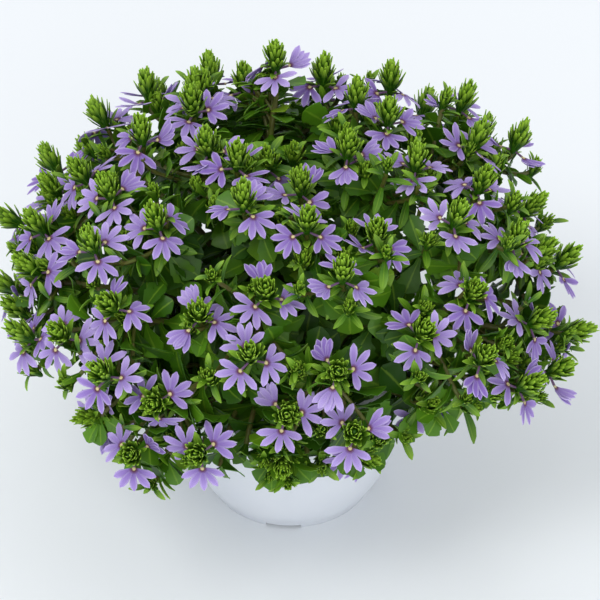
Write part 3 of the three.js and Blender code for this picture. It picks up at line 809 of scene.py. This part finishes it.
bunches = {}
for plan in flowering:
    rng = np.random.default_rng(plan["index"] + BLOOM_SEED)
    axis = plan["axis"]
    growth = bunches[plan["name"]] = Growth()
    lift, chosen = solid_blooms(plan, packed_corners("blooms_" + plan["name"]))
    for tip, (shrink, droop) in zip(plan["tips"], chosen):
        base = tip - axis * BLOOM_DROP
        for order in range(BLOOMS_PER_HEAD):
            throat, aim, side = bloom_places(plan, tip, order, lift, droop, shrink)[:3]
            grow_bloom(growth, throat, aim, side, base, shrink, rng)
        if rng.random() < EXTRA_SHARE:
            direction = swung(axis.orthogonal().normalized(), axis, rng.uniform(0, 360))
            root = base - axis * rng.uniform(*EXTRA_DROPS)
            slope = math.radians(rng.uniform(*EXTRA_SLOPES))
            aim = direction * math.cos(slope) - axis * math.sin(slope)
            throat = root + direction * EXTRA_REACH
            grow_bloom(growth, throat, aim, axis.cross(direction), root, rng.uniform(*EXTRA_SIZES), rng)

shoot_rng = np.random.default_rng(SHOOT_SEED)
for shoot in shoots:
    tip, axis = shoot["tip"], shoot["axis"]
    base = tip - axis * (BLOOM_DROP * shoot["size"])
    out = Vector((tip.x, tip.y, 0)).normalized()
    toward = (out - axis * out.dot(axis) - UP * SHOOT_FAN_LEAN).normalized()
    growth = bunches[shoot["name"]]
    for turn in shoot["fans"]:
        direction = swung(toward, axis, turn)
        aim = (direction - axis * SHOOT_FAN_DROOP).normalized()
        throat = base + direction * EXTRA_REACH
        grow_bloom(growth, throat, aim, axis.cross(direction), base, SHOOT_FAN_SIZE, shoot_rng)

for name, growth in bunches.items():
    bunch = growth.piece("lilac_" + name)
    dress(bunch, petal_tissue, "petal", "blooms_" + name)


# The green of each spray is its forked stems, a head of close bracts at each tip, toothed leaves in a
# spiral down the stems, and leafy twigs that fill the room under the heads. It is grown after the blooms,
# so that bracts and spiral leaves can keep clear of the petals.
MAIN_STEM_STEPS, STEM_ROUNDNESS = 24, 1
STEM_AGE, CORE_AGE, BRACT_AGE, YOUNG_AGE, LEAF_AGE = 0.0, 0.3, 0.2, 0.45, 1.0
STEM_TONE, CORE_TONE, HANGING_TONE = 0.5, 0.4, 0.3
GREEN_SEED, LEAF_SEED = 100, 500

# Heads: the core, and where the bracts sit on it, how far they open, and their sizes from foot to top.
CORE_WIDTH, CORE_LENGTH, CORE_DROP = 6.4, 21.0, 11.4
BRACTS_PER_HEAD, BRACTS_LEAST, BRACTS_BY_SIZE = 46, 0.3, 0.7
BRACT_FOOT, BRACT_TOP, BRACT_SEAT, SEAT_TAPER = -17.0, -7.6, 2.4, 1.1
BRACT_SPREAD, BRACT_SHUT, BRACT_STRAY, BRACT_TWIST = 32, 8, 9, 12
BRACT_LENGTH, LENGTH_TAPER, BRACT_LENGTHS = 10.2, 2.0, (0.82, 1.14)
BRACT_WIDTH, WIDTH_TAPER, BRACT_WIDTHS = 2.6, 0.4, (0.8, 1.15)
BRACT_BEND, BEND_EASE, BRACT_DEPTH = -0.42, 0.2, 2.8
BRACT_ROWS = [0.6, 1.0, 0.34]
BRACT_STEPS = [0, 0.6, 1]

# Leaves: the outlines of a broad and a narrow one, the solid's own leaves, and those of the spirals.
LEAF_ROWS = [0.14, 0.26, 0.6, 0.94, 0.84, 1.04, 0.8, 0.2]
LEAF_STEPS = [0, 0.26, 0.45, 0.62, 0.67, 0.8, 0.88, 1]
NARROW_ROWS = [0.3, 0.62, 0.9, 1.0, 0.72, 0.12]
NARROW_STEPS = [0, 0.2, 0.42, 0.62, 0.84, 1]
LEAVES_PER_SHOOT, LEADER_LEAVES, SIDE_LEAVES, LAST_LEAF = 2, 0.72, 0.4, 0.92
LEAF_LENGTH, LEAF_WIDTH, LEAF_OUT, LEAF_UP, LEAF_BEND = 19, 11, 0.85, 0.45, 0.25
LEAF_NUDGES, LEAF_FOUND_WITHIN = [0, 40, -40, 80, -80, 120, -120, 160], 0.3
SPIRAL_LENGTH, YOUNG_SHORTER, SPIRAL_LENGTHS = 20.5, 9.5, (0.8, 1.15)
NARROW_FROM, NARROW_BREADTH = 0.25, 0.27
BROAD_BREADTH, YOUNG_SLIMMER, SPIRAL_BREADTHS = 0.62, 0.2, (0.9, 1.1)
YOUNG_RISE, OLD_RISE, RISE_STRAY, OLD_SAG, SPIRAL_BENDS = 0.8, 0.25, 0.2, 0.3, (0.1, 0.8)
TOP_GAP, OLD_GAP, LOW_GAP, LOW_REACH = 1.9, 1.6, 1.4, 80
SPIRAL_START, YOUNG_REACH, LEADER_BARE, SIDE_BARE = 1.5, 24, 26, 4
POT_KEEP_OUT = 71

# Twigs: those under the heads, those over the pot's lip, and the one with the thin hanging leaf.
TWIGS_PER_SPRAY, TWIG_RADIUS, TWIG_STRAY, TWIG_ROOT = 7, 0.8, 0.7, SOIL_TOP - 4
TWIG_REACH, MIDDLE_REACH, WAYWARD_REACH = (12, 34), 2, 0.4
TWIG_DEPTHS, TWIG_SIZES, TWIG_JOINTS, TWIG_LOWERED = (3, 20), (0.5, 0.85), (0.5, 0.72), 7
TWIG_START, TWIG_END, TWIG_NECK = 0.3, 0.4, 6
TWIG_ROOM, HEAD_ROOM = 1.3, 1.2
RIM_LEAN, RIM_TWIGS, RIM_REACH, RIM_HEIGHT = 0.6, 2, (84, 98), (84, 100)
RIM_APART, RIM_STRAY, RIM_TWIG_THICKER = 16, 4, 1.3
SHOOT_NECK, SHOOT_THICKER = 8, 1.5
LIP_TURNS, LIP_STRAY, LIP_ROLL = (-104, -50, 0, 48, 106), 12, 28
LIP_LENGTHS, LIP_BREADTH, LIP_BENDS, LIP_TONES = (12, 17), 0.64, (0.1, 0.7), (0.5, 1)
LIP_SPRIGS = [
    (-94, -60, 92),
    (-80, -74, 88),
    (-62, -82, 87),
    (-32, -82, 96),
    (-8, -92, 92),
    (8, -90, 94),
    (32, -90, 95),
    (74, -66, 103),
    (92, -54, 106),
]
HANGING_TIP, HANGING_LENGTH, HANGING_WIDTH, HANGING_BEND = (-43, -74, 86), 20, 3.2, 0.2

# One broad leaf, one narrow leaf, one bract and one head core are modelled, and all others are copies.
leaf = taken(
    blade(
        "leaf",
        2,
        LEAF_ROWS,
        LEAF_STEPS,
        lambda x, y: 0.3 * abs(x) ** 1.2 + 0.02 * math.sin(25 * y) * abs(x),
        0.028,
    )
)
narrow_leaf = taken(blade("narrow_leaf", 2, NARROW_ROWS, NARROW_STEPS, lambda x, y: 0.5 * abs(x), 0.09))
bract = taken(blade("bract", 2, BRACT_ROWS, BRACT_STEPS, lambda x, y: 0.3 * abs(x), 0.09))

bpy.ops.object.select_all(action="DESELECT")
bpy.ops.mesh.primitive_cube_add(size=1, location=(0, 0, 0))
core_model = bpy.context.object
finish_with(core_model, "SUBSURF", levels=2, render_levels=2)
core = taken(core_model)
# The core takes the dark colour of the bract bases, painted shade for the inside of the head.
core["grain"][:, 1] = 0


def grow_stem(growth, curve, radius, steps=12):
    """A round stem along its curve, tapering into the head."""
    line = bpy.data.curves.new("stem", "CURVE")
    line.dimensions = "3D"
    line.bevel_depth, line.bevel_resolution, line.use_fill_caps = 1, STEM_ROUNDNESS, True
    spline = line.splines.new("POLY")
    spline.points.add(steps)
    for i in range(steps + 1):
        place = curve(i / steps)
        spline.points[i].co = (*place, 1)
        spline.points[i].radius = radius + (SIDE_STEM_RADIUS - radius) * i / steps
    stem = bpy.data.objects.new("stem", line)
    bpy.context.scene.collection.objects.link(stem)
    choose(stem)
    bpy.ops.object.convert(target="MESH")
    stem = bpy.context.object
    growth.add_mesh(stem.data, STEM_TONE, STEM_AGE)
    bpy.data.objects.remove(stem)


def core_at(tip, axis, size):
    """The corners of a head's core under its tip. It reaches down onto the end of the stem."""
    side = axis.orthogonal().normalized()
    frame_of = np.array([side, axis.cross(side), axis])
    shape = (core["corners"] * (CORE_WIDTH * size, CORE_WIDTH * size, CORE_LENGTH * size)) @ frame_of
    return shape + np.array(tip - axis * (CORE_DROP * size))


def grow_head(growth, tip, axis, rng, size=1.0):
    """A green head: a core under close bracts in a spiral, the lower ones open and the upper ones shut."""
    side = axis.orthogonal().normalized()
    growth.add(core, core_at(tip, axis, size), CORE_TONE, CORE_AGE)
    spin, count = rng.uniform(0, 360), int(BRACTS_PER_HEAD * (BRACTS_LEAST + BRACTS_BY_SIZE * size))
    for i in range(count):
        share = i / (count - 1)
        out = swung(side, axis, spin + GOLDEN_ANGLE * i + rng.uniform(-BRACT_TWIST, BRACT_TWIST))
        stray = rng.uniform(-BRACT_STRAY, BRACT_STRAY)
        open_angle = math.radians(BRACT_SPREAD * (1 - share) + BRACT_SHUT + stray)
        along = axis * math.cos(open_angle) + out * math.sin(open_angle)
        level = BRACT_FOOT + (BRACT_TOP - BRACT_FOOT) * share
        foot = tip + (axis * level + out * (BRACT_SEAT - SEAT_TAPER * share)) * size
        length = (BRACT_LENGTH - LENGTH_TAPER * share) * rng.uniform(*BRACT_LENGTHS) * size
        width = (BRACT_WIDTH - WIDTH_TAPER * share) * rng.uniform(*BRACT_WIDTHS) * size
        bend = BRACT_BEND + BEND_EASE * share
        corners = laid(bract, foot, along, -out, length, width, bend, BRACT_DEPTH * size)
        if clear_of_petals(bract, corners):
            growth.add(bract, corners, rng.uniform(0, 1), BRACT_AGE)


def solid_leaves(plan, corners):
    """The leaves that the solid has: the origin, aim, face and size of each."""
    draw = stream(plan["index"] + LEAF_SEED)
    found = []
    for order, curve in enumerate(plan["curves"]):
        first, steps = (SIDE_LEAVES, SIDE_STEPS) if order else (LEADER_LEAVES, LEADER_STEPS)
        for i in range(LEAVES_PER_SHOOT):
            share = first + (LAST_LEAF - first) * (i + 0.5) / LEAVES_PER_SHOOT
            origin, stem = on_pieces(curve, steps, share), heading(curve, share)
            spin, size = draw(0, 360), draw(0.85, 1.15)
            across = Vector((1, 0, 0)).cross(stem).normalized()
            for nudge in LEAF_NUDGES:
                away = swung(across, stem, spin + nudge)
                aim = (away * LEAF_OUT + stem * LEAF_UP).normalized()
                normal = aim.cross(stem).normalized().cross(aim)
                tip = origin + aim * (LEAF_LENGTH * size) - normal
                if missed_by([tip], corners)[0] < LEAF_FOUND_WITHIN:
                    found.append((origin, aim, normal, size))
                    break
    return found


def way_of(curve, steps=60):
    """The curve's whole length, and the share of the way at a distance back from its end."""
    places = [curve(i / steps) for i in range(steps + 1)]
    lengths = np.concatenate([[0], np.cumsum([(b - a).length for a, b in zip(places, places[1:])])])
    total = lengths[-1]
    return total, lambda back: float(np.interp(total - back, lengths, np.linspace(0, 1, steps + 1)))


def clear_of_petals(model, corners):
    return not BVHTree.FromPolygons(corners.tolist(), model["faces"].tolist()).overlap(petals_grown)


def leaf_spiral(growth, curve, rng, first, last, young_reach, size, gap=1.0):
    """Leaves in a spiral down a stem from first to last millimetres below its end, narrow and upright
    near the end and broad, toothed and spreading lower down. None ends in the pot or crosses a petal."""
    share_at = way_of(curve)[1]
    back, spin = first, rng.uniform(0, 360)
    while back < last:
        share = share_at(back)
        origin, stem = curve(share), heading(curve, share)
        young = max(0.0, 1 - back / young_reach)
        length = (SPIRAL_LENGTH - YOUNG_SHORTER * young) * rng.uniform(*SPIRAL_LENGTHS) * size
        if young > NARROW_FROM:
            model, breadth = narrow_leaf, NARROW_BREADTH
        else:
            model, breadth = leaf, BROAD_BREADTH - YOUNG_SLIMMER * young
        width = length * breadth * rng.uniform(*SPIRAL_BREADTHS)
        rise = YOUNG_RISE * young + OLD_RISE + rng.uniform(-RISE_STRAY, RISE_STRAY)
        bend = rng.uniform(*SPIRAL_BENDS)
        for nudge in LEAF_NUDGES[:5]:
            away = swung(stem.orthogonal().normalized(), stem, spin + nudge)
            aim = (away + stem * rise - UP * (OLD_SAG * (1 - young))).normalized()
            end = origin + aim * length
            if math.hypot(end.x, end.y) < POT_KEEP_OUT and end.z < POT_HEIGHT + 2:
                continue
            corners = laid(model, origin, aim, stem, length, width, bend)
            if clear_of_petals(model, corners):
                growth.add(model, corners, rng.uniform(0, 1), LEAF_AGE + (YOUNG_AGE - LEAF_AGE) * young)
                break
        spin += GOLDEN_ANGLE
        back += (TOP_GAP + OLD_GAP * (1 - young) + LOW_GAP * min(back / LOW_REACH, 1)) * gap


def grow_leaves(growth, plan, rng):
    """The solid's own leaves, and between them the rest of each stem's leaves. The long stem is bare
    below its end but for a few large leaves."""
    for origin, aim, normal, size in solid_leaves(plan, packed_corners("spray_" + plan["name"])):
        corners = laid(leaf, origin, aim, normal, LEAF_LENGTH * size, LEAF_WIDTH * size, LEAF_BEND)
        growth.add(leaf, corners, rng.uniform(0, 1), LEAF_AGE)
    for order, curve in enumerate(plan["curves"]):
        last = way_of(curve)[0] - (SIDE_BARE if order else LEADER_BARE)
        if plan["name"] == "long":
            leaf_spiral(growth, curve, rng, SPIRAL_START, last=22, young_reach=YOUNG_REACH, size=1.0)
            leaf_spiral(growth, curve, rng, 26, last, young_reach=1, size=1.3, gap=2.4)
        else:
            leaf_spiral(growth, curve, rng, SPIRAL_START, last, YOUNG_REACH, size=1.0)


def grow_twigs(growth, plan, rng):
    """Leafy twigs without blooms, which fill the room between the heads from below."""
    tips, axis, outward = plan["tips"], plan["axis"], plan["outward"]
    centre = sum(tips, Vector()) / len(tips)
    level = UP.cross(outward).normalized()
    rising = outward.cross(level)
    leader = plan["curves"][0]
    for i in range(TWIGS_PER_SPRAY):
        angle = 2 * math.pi * (i + rng.uniform(0, TWIG_STRAY)) / TWIGS_PER_SPRAY
        reach = MIDDLE_REACH
        if i:
            reach = rng.uniform(*TWIG_REACH) * (WAYWARD_REACH if outward.z == 0 else 1)
        tip = centre + (level * math.cos(angle) + rising * math.sin(angle)) * reach
        tip -= axis * rng.uniform(*TWIG_DEPTHS)
        size = rng.uniform(*TWIG_SIZES)
        if not clear_of_petals(core, core_at(tip, axis, TWIG_ROOM * size)):
            tip -= axis * TWIG_LOWERED
        headed = clear_of_petals(core, core_at(tip, axis, HEAD_ROOM * size))
        joint = rng.uniform(*TWIG_JOINTS)
        start = leader(joint)
        span = (tip - start).length
        first = start + heading(leader, joint) * (TWIG_START * span)
        curve = bowed_run(start, first, tip - axis * (TWIG_END * span), tip - axis * TWIG_NECK)
        grow_stem(growth, curve, TWIG_RADIUS)
        if headed:
            grow_head(growth, tip, axis, rng, size)
        leaf_spiral(growth, curve, rng, first=0, last=min(34, 0.9 * span), young_reach=20, size=0.95)


def over_lip(out, foot_reach, climb, step_out, last, end):
    """A curve that rises from the soil beside the wall, and leans out over the lip to its end."""
    foot = out * foot_reach + UP * TWIG_ROOT
    return bowed_run(foot, foot + UP * climb + out * step_out, last, end)


def grow_rim_twigs(growth, plan, rng):
    """Leafy twigs that come up beside the wall and hang out over the pot's lip."""
    turn = math.atan2(plan["outward"].y, plan["outward"].x)
    for i in range(RIM_TWIGS):
        apart = rng.uniform(-RIM_STRAY, RIM_STRAY) + RIM_APART * (i - (RIM_TWIGS - 1) / 2)
        angle = turn + math.radians(apart)
        out = Vector((math.cos(angle), math.sin(angle), 0))
        end = out * rng.uniform(*RIM_REACH) + UP * rng.uniform(*RIM_HEIGHT)
        last = end - out * 24 + UP * 22
        curve = over_lip(out, foot_reach=46, climb=24, step_out=8, last=last, end=end)
        grow_stem(growth, curve, TWIG_RADIUS * RIM_TWIG_THICKER)
        leaf_spiral(growth, curve, rng, first=0, last=46, young_reach=3, size=1.15)


def grow_short_shoot(growth, tip, axis, size, rng):
    """A short leafy shoot from the soil over the lip, with a head."""
    out = Vector((tip.x, tip.y, 0)).normalized()
    end = tip - axis * (SHOOT_NECK * size)
    curve = over_lip(out, foot_reach=48, climb=26, step_out=6, last=end - axis * 26, end=end)
    grow_stem(growth, curve, TWIG_RADIUS * SHOOT_THICKER)
    grow_head(growth, tip, axis, rng, size)
    leaf_spiral(growth, curve, rng, first=0, last=52, young_reach=11, size=1.1)


def grow_lip_sprig(growth, end, rng):
    """A twig from the soil over the lip, with broad toothed leaves spread out at its end."""
    out = Vector((end.x, end.y, 0)).normalized()
    last = end - out * 14 + UP * 14
    curve = over_lip(out, foot_reach=47, climb=26, step_out=6, last=last, end=end)
    grow_stem(growth, curve, TWIG_RADIUS)
    face = (out + UP).normalized()
    for turn in LIP_TURNS:
        aim = swung((out - UP).normalized(), face, turn + rng.uniform(-LIP_STRAY, LIP_STRAY))
        length, roll = rng.uniform(*LIP_LENGTHS), rng.uniform(-LIP_ROLL, LIP_ROLL)
        width, bend = length * LIP_BREADTH, rng.uniform(*LIP_BENDS)
        corners = laid(leaf, end, aim, swung(face, aim, roll), length, width, bend)
        if clear_of_petals(leaf, corners):
            growth.add(leaf, corners, rng.uniform(*LIP_TONES), LEAF_AGE)


def grow_hanging_leaf(growth, tip):
    """The thin leaf that hangs from a bare twig in front of the pot."""
    out = Vector((tip.x, tip.y, 0)).normalized()
    curve = over_lip(out, foot_reach=47, climb=26, step_out=6, last=tip + UP * 16, end=tip)
    grow_stem(growth, curve, TWIG_RADIUS)
    aim = -UP + out * 0.1
    corners = laid(narrow_leaf, tip, aim, out, HANGING_LENGTH, HANGING_WIDTH, HANGING_BEND)
    growth.add(narrow_leaf, corners, HANGING_TONE, LEAF_AGE)


STEM_GREEN, STEM_BROWN = "#66802c", "#5a3d2a"
# The dark bract base colour is partly the bracts' own deep green and partly painted shade.
BRACT_TIP, BRACT_SHADED_BASE = "#acd840", "#2a5c06"
LEAF_DEEP, LEAF_FRESH, LEAF_YELLOW = "#265406", "#5e951a", "#8cac1e"

# Living leaf, bract and stem tissue: a waxy skin over green pulp that lets some light through. Young
# bracts are yellow-green at their tips and dark at their bases, partly their own colour and partly
# painted shade in the gaps between bracts, and the head's hidden core has the same painted-shade
# dark; old leaves are deep green with a paler midrib, and stems olive with brown.
green_tissue, tree, output = new_material("waxy_green_leaf_tissue")
marks = node(tree, "Attribute", attribute_name="grain")
parts = node(tree, "SeparateColor", {"Color": marks.outputs["Color"]})
across, along, tone, age = *parts.outputs[:3], marks.outputs["Alpha"]
place = node(tree, "TexCoord").outputs["Object"]
mottle = node(tree, "TexNoise", {"Vector": place, "Scale": 300.0, "Detail": 3.0})
leaf_hue = node(tree, "Mix", {0: tone, 6: linear(LEAF_DEEP), 7: linear(LEAF_FRESH)}, data_type="RGBA")
yellow = node(tree, "MapRange", {"Value": tone, "From Min": 0.95, "From Max": 1.0, "To Max": 0.7})
leaf_worn = node(
    tree, "Mix", {0: yellow.outputs[0], 6: leaf_hue.outputs[2], 7: linear(LEAF_YELLOW)}, data_type="RGBA"
)
# Painted shade: the bracts darken from tip to base, partly their own colour and partly shade in the gaps
# between them.
bract_shade_to_tip = node(tree, "MapRange", {"Value": along, "From Min": 0.35, "From Max": 1.0})
bract_hue_and_shade = node(
    tree, "Mix", {0: bract_shade_to_tip.outputs[0], 6: linear(BRACT_SHADED_BASE), 7: linear(BRACT_TIP)}, data_type="RGBA"
)
old = node(tree, "MapRange", {"Value": age, "From Min": BRACT_AGE, "From Max": LEAF_AGE})
blade_hue = node(
    tree, "Mix", {0: old.outputs[0], 6: bract_hue_and_shade.outputs[2], 7: leaf_worn.outputs[2]}, data_type="RGBA"
)
from_rib = node(tree, "Math", {0: across, 1: 0.5}, operation="SUBTRACT")
rib_gap = node(tree, "Math", {0: from_rib.outputs[0]}, operation="ABSOLUTE")
rib = node(tree, "MapRange", {"Value": rib_gap.outputs[0], "From Max": 0.07, "To Min": 0.35, "To Max": 0.0})
ribbed = node(
    tree, "Mix", {0: rib.outputs[0], 6: blade_hue.outputs[2], 7: linear(BRACT_TIP)}, data_type="RGBA"
)
stem_share = node(tree, "Math", {0: age, 1: 0.1}, operation="LESS_THAN")
stem_hue = node(
    tree, "Mix", {0: mottle.outputs["Fac"], 6: linear(STEM_GREEN), 7: linear(STEM_BROWN)}, data_type="RGBA"
)
green_hue = node(
    tree, "Mix", {0: stem_share.outputs[0], 6: ribbed.outputs[2], 7: stem_hue.outputs[2]}, data_type="RGBA"
)
wax = node(tree, "MapRange", {"Value": mottle.outputs["Fac"], "To Min": 0.34, "To Max": 0.52})
pores = node(tree, "Bump", {"Height": mottle.outputs["Fac"], "Strength": 0.35, "Distance": 0.0003})
skin = node(
    tree,
    "BsdfPrincipled",
    {
        "Base Color": green_hue.outputs[2],
        "Roughness": wax.outputs[0],
        "Specular IOR Level": 0.4,
        "Normal": pores.outputs[0],
    },
)
glow = node(tree, "BsdfTranslucent", {"Color": green_hue.outputs[2]})
tissue = node(tree, "MixShader", {0: 0.22, 1: skin.outputs[0], 2: glow.outputs[0]})
tree.links.new(tissue.outputs[0], output.inputs["Surface"])

petal_faces = [petal["faces"] + len(petal["corners"]) * i for i in range(len(petal_copies))]
petals_grown = BVHTree.FromPolygons(np.vstack(petal_copies).tolist(), np.vstack(petal_faces).tolist())

greenery = {plan["name"]: Growth() for plan in plans}
for shoot in shoots:
    grow_short_shoot(greenery[shoot["name"]], shoot["tip"], shoot["axis"], shoot["size"], shoot_rng)
for end in LIP_SPRIGS:
    end = Vector(end)
    grow_lip_sprig(greenery[nearest_to(end, plans)["name"]], end, shoot_rng)
grow_hanging_leaf(greenery["low"], Vector(HANGING_TIP))

for plan in plans:
    rng = np.random.default_rng(plan["index"] + GREEN_SEED)
    growth = greenery[plan["name"]]
    for order, (curve, tip) in enumerate(zip(plan["curves"], plan["tips"])):
        grow_stem(growth, curve, SIDE_STEM_RADIUS if order else MAIN_STEM_RADIUS, MAIN_STEM_STEPS)
        grow_head(growth, tip, plan["axis"], rng)
    grow_leaves(growth, plan, rng)
    grow_twigs(growth, plan, rng)
    if plan["outward"].z < RIM_LEAN:
        grow_rim_twigs(growth, plan, rng)
    spray = growth.piece("green_" + plan["name"])
    dress(spray, green_tissue, "leaf", "spray_" + plan["name"])


# The studio is a plain pale floor under three soft lights: a key from the upper left front, a weak one
# behind, and a fill from the front. The camera stands at the photograph's angle, 40 degrees above level.
TARGET = Vector((4.5, 0, 117)) * MM
CAMERA_RISE, CAMERA_DISTANCE, CAMERA_LENS, SENSOR_WIDTH = 40, 2.6, 311, 36
FLOOR_SIZE, FLOOR_PALE = 8, "#e7ebef"
ROOM_LIGHT, ROOM_STRENGTH = (0.975, 0.985, 1, 1), 0.9

bpy.ops.object.select_all(action="DESELECT")
bpy.ops.mesh.primitive_plane_add(size=FLOOR_SIZE, location=(0, 0, 0))
floor = bpy.context.object
floor.name = "studio_floor"

# Matt background paper: pale, dull, with a faint fibre grain.
floor_paper, tree, output = new_material("matt_studio_paper")
place = node(tree, "TexCoord").outputs["Object"]
fleck = node(tree, "TexNoise", {"Vector": place, "Scale": 900.0, "Detail": 2.0})
fibre = node(tree, "Bump", {"Height": fleck.outputs["Fac"], "Strength": 0.05, "Distance": 0.0002})
paper = node(
    tree,
    "BsdfPrincipled",
    {
        "Base Color": linear(FLOOR_PALE),
        "Roughness": 0.9,
        "Specular IOR Level": 0.2,
        "Normal": fibre.outputs[0],
    },
)
tree.links.new(paper.outputs[0], output.inputs["Surface"])
floor.data.materials.append(floor_paper)

rise = math.radians(CAMERA_RISE)
eye = TARGET + Vector((0, -math.cos(rise), math.sin(rise))) * CAMERA_DISTANCE
camera_data = bpy.data.cameras.new("camera")
camera_data.lens, camera_data.sensor_width = CAMERA_LENS, SENSOR_WIDTH
camera = bpy.data.objects.new("camera", camera_data)
camera.location = eye
camera.rotation_euler = (TARGET - eye).to_track_quat("-Z", "Y").to_euler()
bpy.context.scene.collection.objects.link(camera)
bpy.context.scene.camera = camera


def softbox(name, place, size, power, colour):
    """A square soft light that looks at the plant."""
    light = bpy.data.lights.new(name, "AREA")
    light.size, light.energy, light.color = size, power, colour
    lamp = bpy.data.objects.new(name, light)
    lamp.location = place
    lamp.rotation_euler = (TARGET - Vector(place)).to_track_quat("-Z", "Y").to_euler()
    bpy.context.scene.collection.objects.link(lamp)


softbox("key", (-1.3, -1.4, 2.9), 1.3, 34, (1, 0.99, 0.97))
softbox("back", (0.3, 2.0, 1.8), 1.2, 3, (0.97, 0.98, 1))
softbox("front", (0.6, -2.9, 1.4), 2.2, 22, (1, 0.995, 0.985))

world = bpy.data.worlds.new("studio")
bpy.context.scene.world = world
world.use_nodes = True
world.node_tree.nodes["Background"].inputs["Color"].default_value = ROOM_LIGHT
world.node_tree.nodes["Background"].inputs["Strength"].default_value = ROOM_STRENGTH
bpy.context.scene.view_settings.view_transform = "Standard"
